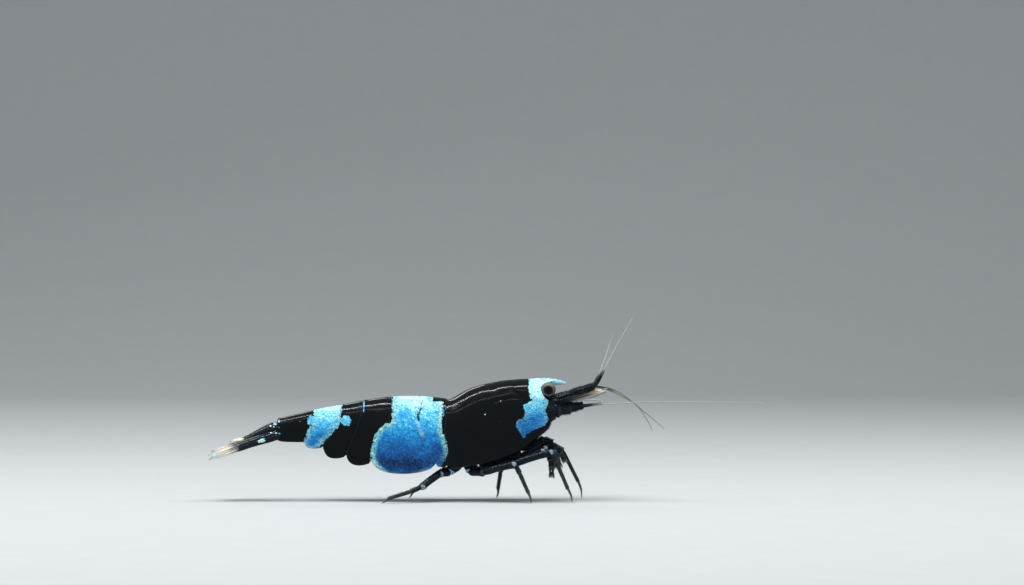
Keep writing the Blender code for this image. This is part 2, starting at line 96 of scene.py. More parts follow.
@dataclass(frozen=True)
class Plan:
    """Turns places on the plan into places in the frame."""

    unit: float
    floor: float

    @classmethod
    def from_frame(cls) -> "Plan":
        """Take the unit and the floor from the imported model."""
        low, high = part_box("carapace")
        return cls(unit=(high.x - low.x) / CARAPACE_LENGTH, floor=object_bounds()[0][2])

    def place(self, points: Array) -> Array:
        """Turn plan points into metres in the frame.

        Args:
            points: an array whose last axis is x, y and z on the plan.

        Returns:
            The same points in metres.
        """
        return np.asarray(points, dtype=float) * self.unit + np.array((0.0, 0.0, self.floor))


PLAN = Plan.from_frame()


class Profile:
    """A smooth line through knots of (place, value), level beyond both ends."""

    def __init__(self, *knots: tuple[float, float]) -> None:
        """Keep the knots in order, with the slope of the line at each.

        Args:
            knots: the line's place and value at each knot.
        """
        ordered = np.array(sorted(knots), dtype=float)
        self.places, self.values = ordered[:, 0], ordered[:, 1]
        places = np.concatenate((self.places[:1], self.places, self.places[-1:]))
        values = np.concatenate((self.values[:1], self.values, self.values[-1:]))
        self.slopes = (values[2:] - values[:-2]) / (places[2:] - places[:-2])

    def __call__(self, place: Array | float) -> Array:
        """Find the value of the line.

        Args:
            place: one place along it, or many.

        Returns:
            The value at each place.
        """
        place = np.clip(place, self.places[0], self.places[-1])
        index = np.searchsorted(self.places, place, side="right") - 1
        index = np.clip(index, 0, len(self.places) - 2)
        run = self.places[index + 1] - self.places[index]
        t = (place - self.places[index]) / run
        return (
            self.values[index] * (2 * t**3 - 3 * t**2 + 1)
            + self.slopes[index] * run * (t**3 - 2 * t**2 + t)
            + self.values[index + 1] * (3 * t**2 - 2 * t**3)
            + self.slopes[index + 1] * run * (t**3 - t**2)
        )


def ease(value: Array | float, low: float, high: float) -> Array:
    """Go smoothly from 0 at low to 1 at high."""
    t = np.clip((np.asarray(value, dtype=float) - low) / (high - low), 0.0, 1.0)
    return t * t * (3.0 - 2.0 * t)


def unit_vectors(vectors: Array) -> Array:
    """Scale each vector to length 1."""
    size = np.linalg.norm(vectors, axis=-1, keepdims=True)
    return vectors / np.maximum(size, 1e-9)


def smooth_route(joints: Sequence[Sequence[float]], steps: int) -> Array:
    """Points of a smooth curve through the joints.

    Args:
        joints: the joints, each with as many numbers as the curve carries.
        steps: how many points to each stretch between two joints.

    Returns:
        An array of points with the joints' numbers.
    """
    knots = np.array(joints, dtype=float)
    ends = np.vstack((2 * knots[0] - knots[1], knots, 2 * knots[-1] - knots[-2]))
    route = [knots[:1]]
    t = (np.arange(1, steps + 1) / steps)[:, None]
    for before, start, end, after in zip(ends, ends[1:], ends[2:], ends[3:]):
        route.append(
            0.5
            * (
                2 * start
                + (end - before) * t
                + (2 * before - 5 * start + 4 * end - after) * t**2
                + (3 * start - before - 3 * end + after) * t**3
            )
        )
    return np.vstack(route)


def on_side(points: Sequence, side: Side) -> Array:
    """Put a point, or many, given for the left side on the named side.

    Args:
        points: numbers that start with x, the distance out and z.
        side: the side they go to.

    Returns:
        An array of the same shape.
    """
    placed = np.array(points, dtype=float)
    placed[..., 1] *= side.value
    return placed


# ---- making meshes


@dataclass
class Stem:
    """A round or oval body along a route, kept so that hairs can be set on it."""

    route: Array
    radii: Array
    side: Array
    rise: Array
    arch: Array

    def skin(self, along: Array, angle: Array) -> tuple[Array, Array, Array]:
        """Find places on the skin.

        Args:
            along: 0 at the root to 1 at the tip, for each place.
            angle: the angle round the stem, for each place.

        Returns:
            The places, the way out of the skin and the way to the tip.
        """
        last = len(self.route) - 1
        spot = np.clip(along, 0.0, 1.0) * last
        low = np.minimum(spot.astype(int), last - 1)
        t = (spot - low)[:, None]
        parts = (self.route, self.side, self.rise, self.radii, self.arch[:, None])
        middle, side, rise, radii, arch = (part[low] * (1 - t) + part[low + 1] * t for part in parts)
        cos, sin = np.cos(angle)[:, None], np.sin(angle)[:, None]
        place = middle + side * (cos * radii[:, :1]) + rise * (sin * radii[:, 1:] - cos**2 * arch)
        ahead = unit_vectors(self.route[low + 1] - self.route[low])
        return place, unit_vectors(side * cos + rise * sin), ahead


class Draft:
    """A mesh being drawn: its points, its faces and the numbers kept at each point."""

    CAP_TURNS = (80.0, 62.0, 42.0, 21.0)  # where the rings of a rounded end lie, in degrees

    def __init__(self, name: str) -> None:
        """Start with nothing drawn.

        Args:
            name: the piece's name.
        """
        self.name = name
        self.points: list[Array] = []
        self.faces: list[tuple[int, ...]] = []
        self.finishes: list[int] = []
        self.marks: dict[str, list[tuple[int, Array]]] = {}
        self.count = 0

    def add(
        self, points: Array, faces: Iterable[Sequence[int]], finish: int = 0, **marks: Array
    ) -> None:
        """Add points and the faces between them.

        Args:
            points: an array of plan points.
            faces: rows of point numbers, counted from the first of these points.
            finish: which of the piece's finishes the faces have.
            marks: numbers to keep at the points, one for each.
        """
        first = self.count
        points = np.asarray(points, dtype=float).reshape(-1, 3)
        self.points.append(points)
        self.count += len(points)
        before = len(self.faces)
        self.faces.extend(tuple(int(corner) + first for corner in face) for face in faces)
        self.finishes.extend([finish] * (len(self.faces) - before))
        for name, values in marks.items():
            self.marks.setdefault(name, []).append((first, np.asarray(values, dtype=float).reshape(-1)))

    def sheet(self, grid: Array, thickness: float, finish: int = 0, **marks: Array) -> None:
        """Add a curved sheet of real thickness with a rolled edge.

        Args:
            grid: rows and columns of points on its outer face.
            thickness: how thick it is.
            finish: which of the piece's finishes it has.
            marks: numbers for each point of the grid.
        """
        rows, columns = grid.shape[:2]
        size = rows * columns
        number = np.arange(size).reshape(rows, columns)
        edge = np.concatenate((number[0, :-1], number[:-1, -1], number[-1, :0:-1], number[:0:-1, 0]))
        inward = number.copy()
        inward[0], inward[-1] = inward[1], inward[-2]
        inward[:, 0], inward[:, -1] = inward[:, 1], inward[:, -2]
        outer = grid.reshape(-1, 3)
        inner = (grid - grid_normals(grid) * thickness).reshape(-1, 3)
        away = unit_vectors(outer[edge] - outer[inward.reshape(-1)[edge]])
        roll = (outer[edge] + inner[edge]) / 2 + away * thickness * 0.5
        faces = grid_faces(rows, columns)
        faces += [tuple(corner + size for corner in reversed(face)) for face in faces]
        ring = np.arange(len(edge))
        for here, there in zip(ring, np.roll(ring, -1)):
            faces.append((edge[here], 2 * size + here, 2 * size + there, edge[there]))
            faces.append((2 * size + here, edge[here] + size, edge[there] + size, 2 * size + there))
        marks["inside"] = 0.0
        for name, values in marks.items():
            values = np.broadcast_to(values, (rows, columns)).reshape(-1)
            marks[name] = np.concatenate((values, values, values[edge]))
        marks["inside"][size:] = np.repeat((1.0, 0.5), (size, len(edge)))
        self.add(np.concatenate((outer, inner, roll)), faces, finish, **marks)

    def stem(
        self, route: Array, radii: Array, sides: int = 14, across: Sequence[float] | None = None,
        arch: Array | float = 0.0, cap: float = 0.5, finish: int = 0, **marks: Array,
    ) -> Stem:
        """Add a closed body with round or oval sections along a route.

        Args:
            route: the middle of each section.
            radii: half the width of each section, or half its width and half its thickness.
            sides: how many points to a section.
            across: the direction of the widths, where the sections aren't round.
            arch: how far the edges of each section bend down.
            cap: how far the rounded ends stand out, as a part of the radius.
            finish: which of the piece's finishes it has.
            marks: numbers for each section.

        Returns:
            The stem, for setting hairs on.
        """
        route, radii = np.asarray(route, dtype=float), np.asarray(radii, dtype=float)
        if radii.ndim == 1:
            radii = np.stack((radii, radii), axis=1)
        side, rise, ahead = frames_along(route, across)
        arch = np.broadcast_to(np.asarray(arch, dtype=float), len(route))
        turns = np.radians(self.CAP_TURNS)
        order = np.pad(np.arange(len(route)), len(turns), mode="edge")
        shrink = np.concatenate((np.cos(turns), np.ones(len(route)), np.cos(turns[::-1])))
        push = np.concatenate((-np.sin(turns), np.zeros(len(route)), np.sin(turns[::-1]))) * cap
        width = radii[order] * shrink[:, None]
        lift = arch[order] * shrink
        middle = route[order] + ahead[order] * (radii[order, 1] * push)[:, None]
        angle = np.arange(sides) * math.tau / sides
        cos, sin = np.cos(angle), np.sin(angle)
        sections = (
            middle[:, None]
            + side[order][:, None] * (width[:, :1] * cos)[..., None]
            + rise[order][:, None] * (width[:, 1:] * sin - lift[:, None] * cos**2)[..., None]
        )
        points = np.concatenate((sections.reshape(-1, 3), middle[:1], middle[-1:]))
        for name, values in marks.items():
            values = np.asarray(values, dtype=float)
            values = values if values.ndim == 2 else np.broadcast_to(values, len(route))[:, None]
            values = np.broadcast_to(values[order], (len(order), sides)).reshape(-1)
            marks[name] = np.concatenate((values, values[:1], values[-1:]))
        for name, values in (("across", cos), ("above", sin)):
            marks[name] = np.concatenate((np.tile(values, len(order)), (0.0, 0.0)))
        self.add(points, tube_faces(len(order), sides), finish, **marks)
        return Stem(route, radii, side, rise, arch)

    def finish(
        self, finishes: Sequence[Material], slot: str, replaced: Sequence[str] = ()
    ) -> Object:
        """Make the object, let it ride on the body and report it.

        Args:
            finishes: its materials, in the order that the faces name them.
            slot: not used.
            replaced: the CAD nodes that it stands for.

        Returns:
            The new object.
        """
        points = PLAN.place(np.concatenate(self.points))
        mesh = bpy.data.meshes.new(self.name)
        mesh.from_pydata(points.tolist(), [], self.faces)
        mesh.polygons.foreach_set("material_index", self.finishes)
        mesh.shade_smooth()
        for name, parts in self.marks.items():
            values = np.zeros(self.count, dtype=np.float32)
            for first, part in parts:
                values[first : first + len(part)] = part
            layer = mesh.attributes.new(name, "FLOAT", "POINT")
            layer.data.foreach_set("value", values)
        for material in finishes:
            mesh.materials.append(material)
        made = bpy.data.objects.new(self.name, mesh)
        bpy.context.scene.collection.objects.link(made)
        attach(made, BODY)
        if replaced:
            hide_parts(*replaced)
        report(made, replaced)
        return made


def report(made: Object, replaced: Sequence[str]) -> None:
    """Log the size of a piece, and how far it stands out of the nodes that it replaces.

    Args:
        made: the piece.
        replaced: the nodes.
    """
    flat = np.empty(len(made.data.vertices) * 3)
    made.data.vertices.foreach_get("co", flat)
    points = flat.reshape(-1, 3)
    low, high = points.min(axis=0), points.max(axis=0)
    words = "%s: %d faces, %.2f x %.2f x %.2f"
    log.info(words, made.name, len(made.data.polygons), *((high - low) / PLAN.unit))
    if replaced:
        boxes = [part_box(node) for node in replaced]
        box_low = np.min([tuple(box[0]) for box in boxes], axis=0)
        box_high = np.max([tuple(box[1]) for box in boxes], axis=0)
        over = max((box_low - low).max(), (high - box_high).max()) / PLAN.unit
        log.info("%s stands %.2f out of its nodes' box", made.name, over)


def grid_faces(rows: int, columns: int, wrap: bool = False) -> list[tuple[int, ...]]:
    """List the four-sided faces of a grid.

    Args:
        rows: how many rows of points it has.
        columns: how many columns.
        wrap: whether the last column joins the first.

    Returns:
        The faces as rows of point numbers.
    """
    faces = []
    for row in range(rows - 1):
        here, there = row * columns, (row + 1) * columns
        for column in range(columns if wrap else columns - 1):
            beside = (column + 1) % columns
            faces.append((here + column, here + beside, there + beside, there + column))
    return faces


def tube_faces(rows: int, columns: int) -> list[tuple[int, ...]]:
    """List the faces of a closed tube, whose two end points come after its rows.

    Args:
        rows: how many rings of points it has.
        columns: how many points to a ring.

    Returns:
        The faces as rows of point numbers.
    """
    faces = grid_faces(rows, columns, wrap=True)
    start = rows * columns
    last = start - columns
    for here in range(columns):
        there = (here + 1) % columns
        faces.append((start, there, here))
        faces.append((start + 1, last + here, last + there))
    return faces


def grid_normals(grid: Array) -> Array:
    """The way out of a grid of points, whose columns run from right to left and rows to the rear."""
    return unit_vectors(np.cross(np.gradient(grid, axis=1), np.gradient(grid, axis=0)))


def frames_along(
    route: Array, across: Sequence[float] | None
) -> tuple[Array, Array, Array]:
    """Find the directions of the sections along a route.

    Args:
        route: the middle of each section.
        across: the direction of the widths, or None for the least twist.

    Returns:
        The side, the rise and the way ahead at each section.
    """
    ahead = unit_vectors(np.gradient(route, axis=0))
    if across is not None:
        side = unit_vectors(across - ahead * (ahead @ np.array(across))[:, None])
        return side, np.cross(ahead, side), ahead
    side = np.empty_like(route)
    current = np.array((1.0, 0.0, 0.0) if abs(ahead[0, 1]) > 0.9 else (0.0, 1.0, 0.0))
    for index, forward in enumerate(ahead):
        current = unit_vectors(current - forward * (current @ forward))
        side[index] = current
    return side, np.cross(ahead, side), ahead


def free_edge(grid: Array) -> Array:
    """How far each place of a grid of points is from the nearest edge of the grid."""
    edges = (grid[:, :1], grid[:, -1:], grid[:1], grid[-1:])
    return np.min([np.linalg.norm(grid - edge, axis=-1) for edge in edges], axis=0)


def distance_inside(points: Array, outline: Array) -> Array:
    """Find how far inside a closed outline flat points lie.

    Args:
        points: rows of (x, z).
        outline: the corners of the outline, in order.

    Returns:
        The distance to the outline for each point, below zero outside.
    """
    closed = np.vstack((outline, outline[:1]))
    crossed = np.zeros(len(points), dtype=bool)
    for a, b in zip(closed, closed[1:]):
        spans = (a[1] > points[:, 1]) != (b[1] > points[:, 1])
        rise = b[1] - a[1] if b[1] != a[1] else 1e-9
        crossed ^= spans & (points[:, 0] < a[0] + (points[:, 1] - a[1]) * (b[0] - a[0]) / rise)
    return distance_to_line(points, closed) * np.where(crossed, 1.0, -1.0)


def distance_to_line(points: Array, line: Sequence[Sequence[float]]) -> Array:
    """Find how far flat points lie from an open line.

    Args:
        points: rows of (x, z).
        line: the places that the line runs through.

    Returns:
        The distance for each point.
    """
    nearest = np.full(len(points), np.inf)
    line = np.asarray(line, dtype=float)
    for a, b in zip(line, line[1:]):
        run = b - a
        t = np.clip(((points - a) @ run) / max(run @ run, 1e-12), 0.0, 1.0)
        nearest = np.minimum(nearest, np.linalg.norm(points - a - t[:, None] * run, axis=1))
    return nearest


def bump(value: Array, middle: float, width: float) -> Array:
    """Rise to 1 at the middle, and fade to 0 over about two widths on each side."""
    return np.exp(-(((value - middle) / width) ** 2))


def near(points: Array, x: float, z: float, half_length: float, half_height: float) -> Array:
    """How near (x, z) points are to a place, from 1 there to 0 far away, fading as an oval."""
    return bump(points[:, 0], x, half_length) * bump(points[:, 1], z, half_height)


# ---- finishes


def tint(code: str) -> Colour:
    """Turn a colour code of six hexadecimal digits into the light that it reflects."""
    parts = [int(code[start : start + 2], 16) / 255.0 for start in (0, 2, 4)]
    return (*(part / 12.92 if part <= 0.04045 else ((part + 0.055) / 1.055) ** 2.4 for part in parts), 1.0)


class Recipe:
    """Builds the nodes of one material."""

    def __init__(self, name: str) -> None:
        """Start a material with a plain shader.

        Args:
            name: the material's name.
        """
        self.material = bpy.data.materials.new(name)
        self.material.use_nodes = True
        self.tree = self.material.node_tree
        place = self.node("ShaderNodeTexCoord", {}, "Object")
        inputs = {0: place, "Scale": 1.0 / PLAN.unit}
        self.plan = self.node("ShaderNodeVectorMath", inputs, "Vector", operation="SCALE")

    def node(self, kind: str, inputs: dict, output: int | str = 0, **settings: object) -> Socket:
        """Add a node.

        Args:
            kind: its type.
            inputs: values or other nodes' sockets for its own, by name or number.
            output: which of its sockets is asked for.
            settings: its other settings.

        Returns:
            The socket that is asked for.
        """
        node = self.tree.nodes.new(kind)
        for key, value in settings.items():
            setattr(node, key, value)
        self.feed(node, inputs)
        return node.outputs[output]

    def feed(self, node: bpy.types.Node, inputs: dict) -> None:
        """Link or set the inputs of a node.

        Args:
            node: the node.
            inputs: values or other nodes' sockets, by name or number. None is left out.
        """
        for key, value in inputs.items():
            if isinstance(value, bpy.types.NodeSocket):
                self.tree.links.new(value, node.inputs[key])
            elif value is not None:
                node.inputs[key].default_value = value

    def noise(self, scale: float, detail: float = 2.0, warp: float = 0.0) -> Socket:
        """Soft random clouds, so many to a plan unit."""
        inputs = {"Vector": self.plan, "Scale": scale, "Detail": detail, "Distortion": warp}
        return self.node("ShaderNodeTexNoise", inputs)

    def cells(self, scale: float) -> tuple[Socket, Socket]:
        """Random grains, so many to a plan unit: distance from each middle, and a number for each."""
        colour = self.node("ShaderNodeTexVoronoi", {"Vector": self.plan, "Scale": scale}, "Color")
        return colour.node.outputs["Distance"], self.node("ShaderNodeSeparateColor", {0: colour})

    def mark(self, name: str) -> Socket:
        """A number that the mesh keeps at its points."""
        return self.node("ShaderNodeAttribute", {}, "Fac", attribute_name=name)

    def calc(self, operation: str, first: object, second: object = 0.0) -> Socket:
        """One sum of two numbers."""
        return self.node("ShaderNodeMath", {0: first, 1: second}, operation=operation)

    def times(self, first: object, second: object) -> Socket:
        """One number times another."""
        return self.calc("MULTIPLY", first, second)

    def wobble(self, value: Socket, other: Socket, amount: float) -> Socket:
        """Add a random number between 0 and 1 to a value, by an amount either way."""
        inputs = {0: other, 1: 2.0 * amount, 2: self.calc("SUBTRACT", value, amount)}
        return self.node("ShaderNodeMath", inputs, operation="MULTIPLY_ADD")

    def step(self, value: object, low: float, high: float) -> Socket:
        """Go smoothly from 0 at low to 1 at high."""
        inputs = {"Value": value, "From Min": low, "From Max": high}
        return self.node("ShaderNodeMapRange", inputs, interpolation_type="SMOOTHSTEP")

    def span(self, value: object, low: float, high: float) -> Socket:
        """Turn a number from 0 to 1 into one from low to high."""
        return self.node("ShaderNodeMapRange", {"Value": value, "To Min": low, "To Max": high})

    def mix(self, factor: object, first: object, second: object) -> Socket:
        """Mix two colours."""
        return self.node("ShaderNodeMix", {0: factor, 6: first, 7: second}, 2, data_type="RGBA")

    def ramp(self, factor: Socket, *stops: tuple[float, str]) -> Socket:
        """Choose colours along a scale from 0 to 1.

        Args:
            factor: the place on the scale.
            stops: places on it, each with its colour code.

        Returns:
            The colour.
        """
        colour = self.node("ShaderNodeValToRGB", {0: factor})
        elements = colour.node.color_ramp.elements
        while len(elements) < len(stops):
            elements.new(0.5)
        for element, (place, code) in zip(elements, stops):
            element.position = place
            element.color = tint(code)
        return colour

    def relief(
        self, height: Socket, depth: float, strength: float = 1.0, below: Socket | None = None
    ) -> Socket:
        """A raised texture, so many plan units deep, on top of another where one is given."""
        inputs = {"Strength": strength, "Distance": depth * PLAN.unit, "Height": height, "Normal": below}
        return self.node("ShaderNodeBump", inputs, "Normal")

    def dress(self, colour: object, roughness: object, normal: Socket, **uniform: object) -> Material:
        """Set the shader.

        Args:
            colour: the base colour.
            roughness: how dull the surface is.
            normal: the relief.
            uniform: values for other sockets, with _ for each space in the socket's name.

        Returns:
            The finished material.
        """
        inputs = {"Base Color": colour, "Roughness": roughness, "Normal": normal}
        inputs.update({name.replace("_", " "): value for name, value in uniform.items()})
        self.feed(self.tree.nodes["Principled BSDF"], inputs)
        return self.material


@dataclass(frozen=True)
class ShellFinish:
    """Glossy black shell with patches of blue grains that pale towards the back, partly in their own colour
    and partly as painted top light.
    """

    name: str
    black: str = "03070e"
    brown: str = "0b0f10"
    grain_scale: float = 14.0
    gloss: float = 0.13
    blues: tuple[tuple[float, str], ...] = (
        (0.0, "06244f"), (0.12, "093a70"), (0.24, "0e5092"), (0.4, "1267b0"), (0.58, "1f91da"),
        (0.75, "48bfec"), (0.88, "98e9f6"), (1.0, "d6fbf6"),
    )

    def build(self) -> Material:
        """Make the material.

        Returns:
            The material.
        """
        made = Recipe(self.name)
        far, grain = made.cells(self.grain_scale)
        _, coarse = made.cells(self.grain_scale * 0.52)
        edge = made.wobble(made.mark("blue_edge"), made.noise(1.7, 3.0, 0.6), 0.07)
        edge = made.wobble(made.wobble(edge, grain, 0.04), coarse, 0.03)
        # painted shade: the blue gives way to black along the listed seam and groove lines
        dark_line = made.step(made.wobble(made.mark("dark_line"), grain, 0.035), 0.06, 0.02)
        patch = made.times(made.step(edge, -0.012, 0.018), made.span(dark_line, 1.0, 0.12))
        colour = made.mix(patch, self._plain(made), self._blue(made, edge, grain, coarse))
        seam = made.step(made.mark("free_edge"), 0.07, 0.015)
        colour = made.mix(made.times(seam, made.span(patch, 0.4, 0.0)), colour, tint("2b2e32"))
        colour = made.mix(made.step(made.mark("inside"), 0.55, 0.95), colour, tint("11151a"))
        rough = made.wobble(made.span(patch, self.gloss, 0.36), made.noise(3.0, 3.0), 0.05)
        pits = made.relief(made.noise(16.0), 0.004, 0.35)
        waves = made.relief(made.noise(0.9, 1.0), 0.07, 0.5, pits)
        grains = made.relief(made.times(far, patch), 0.012, 0.45, waves)
        return made.dress(colour, rough, grains, Specular_IOR_Level=0.32)

    def _plain(self, made: Recipe) -> Socket:
        """Make the colour of bare shell: black and brown clouds with a few pale specks painted as glints.

        Args:
            made: the material's recipe.

        Returns:
            The colour.
        """
        base = made.mix(made.noise(0.55, 4.0), tint(self.black), tint(self.brown))
        far, rare = made.cells(2.3)
        # painted highlight: rare pale cyan glints on the black shell, where the sparkle mark allows them
        painted_glint = made.times(made.step(rare, 0.975, 0.985), made.step(far, 0.12, 0.06))
        return made.mix(made.times(painted_glint, made.mark("sparkle")), base, tint("8fc7d8"))

    def _blue(self, made: Recipe, edge: Socket, grain: Socket, coarse: Socket) -> Socket:
        """Make the colour of the patches: blue grains, with a pale rim and a pale speckled line.

        Args:
            made: the material's recipe.
            edge: how deep in a patch a place is.
            grain: a number for each grain.
            coarse: a number for each group of grains.

        Returns:
            The colour.
        """
        tone = made.wobble(made.wobble(made.mark("tone"), grain, 0.14), coarse, 0.08)
        tone = made.wobble(tone, made.noise(0.95, 4.0, 1.0), 0.17)
        blue = made.ramp(tone, *self.blues)
        rim = made.times(made.step(edge, 0.52, 0.2), made.mark("rim_light"))
        dots = made.step(made.calc("ADD", grain, made.times(coarse, 0.5)), 0.4, 0.62)
        rim_colour = made.mix(made.step(coarse, 0.5, 0.9), tint("74cdd6"), tint("cdead0"))
        blue = made.mix(made.times(rim, 0.7), blue, tint("3a97bf"))
        blue = made.mix(made.times(rim, dots), blue, rim_colour)
        pale_line = made.step(made.wobble(made.mark("pale_line"), grain, 0.13), 0.22, 0.0)
        return made.mix(made.times(pale_line, made.span(dots, 0.2, 0.85)), blue, tint("a9e4e6"))


@dataclass(frozen=True)
class LimbFinish:
    """Dark horny limb with pale skin at its joints and a clearer, browner tip."""

    name: str
    dark: str = "0a1018"
    worn: str = "172028"
    clear: str = "4e4a41"

    def build(self) -> Material:
        """Make the material.

        Returns:
            The material.
        """
        made = Recipe(self.name)
        clouds = made.noise(2.6, 4.0, 0.4)
        _, grain = made.cells(13.0)
        colour = made.mix(made.step(clouds, 0.42, 0.7), tint(self.dark), tint(self.worn))
        colour = made.mix(made.times(made.step(grain, 0.8, 0.95), 0.5), colour, tint("1e3a52"))
        horn = made.mix(clouds, tint(self.clear), tint("7d7a72"))
        colour = made.mix(made.times(made.mark("clear"), 0.85), colour, horn)
        joint = made.step(made.wobble(made.mark("joint"), made.noise(7.0), 0.04), 0.07, 0.01)
        colour = made.mix(made.times(joint, made.mark("joint_light")), colour, tint("6f8390"))
        spot = made.step(made.wobble(made.mark("spot"), grain, 0.1), 0.3, 0.42)
        cool = made.mix(grain, tint("2788c2"), tint("a8dbe4"))
        warm = made.mix(grain, tint("4f7088"), tint("9cb6c0"))
        colour = made.mix(spot, colour, made.mix(made.mark("cool"), warm, cool))
        rough = made.wobble(made.span(made.mark("clear"), 0.28, 0.4), clouds, 0.07)
        relief = made.relief(made.noise(11.0, 3.0), 0.01, 0.6)
        return made.dress(colour, rough, relief, Specular_IOR_Level=0.36)


@dataclass(frozen=True)
class FeelerFinish:
    """Thin ringed feeler that pales and clears from its root to its tip."""

    name: str
    root: str = "0a0f15"
    middle: str = "57492f"
    tip: str = "c4c8ca"
    turn: tuple[float, float] = (0.15, 0.21)  # where the root's colour gives way to the middle's

    def build(self) -> Material:
        """Make the material.

        Returns:
            The material.
        """
        made = Recipe(self.name)
        along = made.wobble(made.mark("along"), made.noise(1.6), 0.05)
        low, high = self.turn
        colour = made.mix(made.step(along, low, high), tint(self.root), tint(self.middle))
        colour = made.mix(made.step(along, high, min(high * 1.5, 0.98)), colour, tint(self.tip))
        colour = made.mix(made.times(made.mark("band"), 0.55), colour, tint("2b2e31"))
        grain = made.noise(9.0, 3.0)
        dust = made.times(made.times(grain, 0.3), made.step(along, low, high + 0.1))
        colour = made.mix(dust, colour, tint("8f9499"))
        normal = made.relief(grain, 0.008, 0.5)
        return made.dress(colour, made.span(grain, 0.32, 0.52), normal, Specular_IOR_Level=0.4)


@dataclass(frozen=True)
class FanFinish:
    """Tail blade: black and glossy at its root, streaked cream and clear towards its tip."""

    name: str

    def build(self) -> Material:
        """Make the material.

        Returns:
            The material.
        """
        made = Recipe(self.name)
        streaks = {0: made.times(made.mark("across"), 5.5), 1: made.times(made.mark("along"), 1.4)}
        place = made.node("ShaderNodeCombineXYZ", {**streaks, 2: made.mark("blade")})
        rays = made.node("ShaderNodeTexNoise", {"Vector": place, "Scale": 1.6, "Detail": 2.5})
        along = made.wobble(made.wobble(made.mark("along"), rays, 0.13), made.noise(1.8, 3.0), 0.05)
        pale = made.step(along, 0.56, 0.66)
        dark = made.mix(made.noise(1.3, 3.0), tint("0b1017"), tint("15202b"))
        cream = made.mix(made.step(rays, 0.32, 0.6), tint("a89c80"), tint("f7f0dd"))
        blue_end = made.times(made.step(made.mark("end"), 0.8, 0.9), made.mark("cool"))
        cream = made.mix(blue_end, cream, made.mix(rays, tint("cfeaf0"), tint("8fd6ea")))
        _, grain = made.cells(12.0)
        spot = made.step(made.wobble(made.mark("spot"), grain, 0.12), 0.45, 0.56)
        spot_colour = made.mix(grain, tint("7fdcf0"), tint("e4fbf8"))
        colour = made.mix(spot, made.mix(pale, dark, cream), spot_colour)
        clear = made.times(made.step(made.mark("end"), 0.78, 1.1), made.step(rays, 0.75, 0.3))
        normal = made.relief(rays, 0.012, 0.4)
        alpha = made.span(clear, 1.0, 0.35)
        return made.dress(colour, made.span(pale, 0.2, 0.38), normal, Specular_IOR_Level=0.45, Alpha=alpha)


@dataclass(frozen=True)
class ScaleFinish:
    """Feeler scale: a dark outer rib, a golden leaf and a clear white tip."""

    name: str
    leaf: tuple[tuple[float, str], ...] = (
        (0.0, "0c1117"), (0.22, "14161a"), (0.36, "3a342b"), (0.5, "6d6452"), (0.6, "a5865a"),
        (0.72, "cba870"), (0.8, "e6d3ab"), (0.87, "f1f1ec"), (1.0, "f5f8fa"),
    )

    def build(self) -> Material:
        """Make the material.

        Returns:
            The material.
        """
        made = Recipe(self.name)
        along = made.wobble(made.mark("along"), made.noise(2.2, 3.0), 0.06)
        across = made.mark("across")
        veins = made.noise(5.0, 4.0, 0.3)
        thin = made.times(made.step(across, 0.3, -0.3), made.step(along, 0.3, 0.55))
        clear = made.mix(veins, tint("8f9aa4"), tint("c3cbd2"))
        colour = made.mix(made.times(thin, 0.8), made.ramp(along, *self.leaf), clear)
        rib = made.times(made.step(across, 0.7, 0.9), made.step(along, 0.84, 0.72))
        colour = made.mix(rib, colour, tint("0f151b"))
        beside = made.calc("ABSOLUTE", made.calc("ADD", across, -0.34))
        keel = made.times(made.step(beside, 0.24, 0.12), made.step(along, 0.74, 0.6))
        colour = made.mix(made.times(keel, 0.85), colour, tint("1d2633"))
        alpha = made.span(made.times(made.step(along, 0.55, 1.0), made.step(across, 0.6, -0.2)), 1.0, 0.5)
        normal = made.relief(veins, 0.015, 0.6)
        return made.dress(colour, made.span(veins, 0.26, 0.44), normal, Alpha=alpha)


@dataclass(frozen=True)
class EyeFinish:
    """Grey-brown glassy eye with a dark middle that looks out to the side, and an upper side painted paler as
    top light.
    """

    name: str
    glass: str = "68635e"
    rim: str = "383839"

    def build(self) -> Material:
        """Make the material.

        Returns:
            The material.
        """
        made = Recipe(self.name)
        off = made.mark("off_axis")
        cloud = made.noise(3.2, 3.0, 0.5)
        edge = made.step(made.wobble(off, cloud, 0.1), 0.75, 1.35)
        colour = made.mix(edge, tint(self.glass), tint(self.rim))
        # painted highlight: the upper side of the eye, outside its dark middle, is painted paler as if lit
        # from above
        painted_top_light = made.times(made.step(made.mark("upper"), 0.1, 0.9), made.step(off, 0.45, 0.85))
        colour = made.mix(made.times(painted_top_light, 0.55), colour, tint("8b8882"))
        ring = made.step(made.wobble(off, cloud, 0.06), 0.86, 0.55)
        colour = made.mix(ring, colour, tint("1c1614"))
        core = made.step(made.wobble(off, cloud, 0.03), 0.6, 0.42)
        colour = made.mix(core, colour, tint("050404"))
        normal = made.relief(made.cells(17.0)[0], 0.006, 0.35)
        gloss = {"Specular_IOR_Level": 0.25, "Coat_Weight": 0.2, "Coat_Roughness": 0.04}
        return made.dress(colour, made.span(cloud, 0.22, 0.34), normal, **gloss)


@dataclass(frozen=True)
class FleshFinish:
    """Dark moist skin under the shell, with faint folds."""

    name: str

    def build(self) -> Material:
        """Make the material.

        Returns:
            The material.
        """
        made = Recipe(self.name)
        cloud = made.noise(1.4, 4.0, 0.8)
        _, grain = made.cells(16.0)
        colour = made.mix(cloud, tint("0b0f14"), tint("23211f"))
        colour = made.mix(made.times(made.step(grain, 0.84, 0.95), 0.3), colour, tint("3d5566"))
        folds = made.relief(made.noise(5.0, 3.0, 1.0), 0.04, 0.6)
        return made.dress(colour, made.span(cloud, 0.34, 0.5), folds, Specular_IOR_Level=0.4)


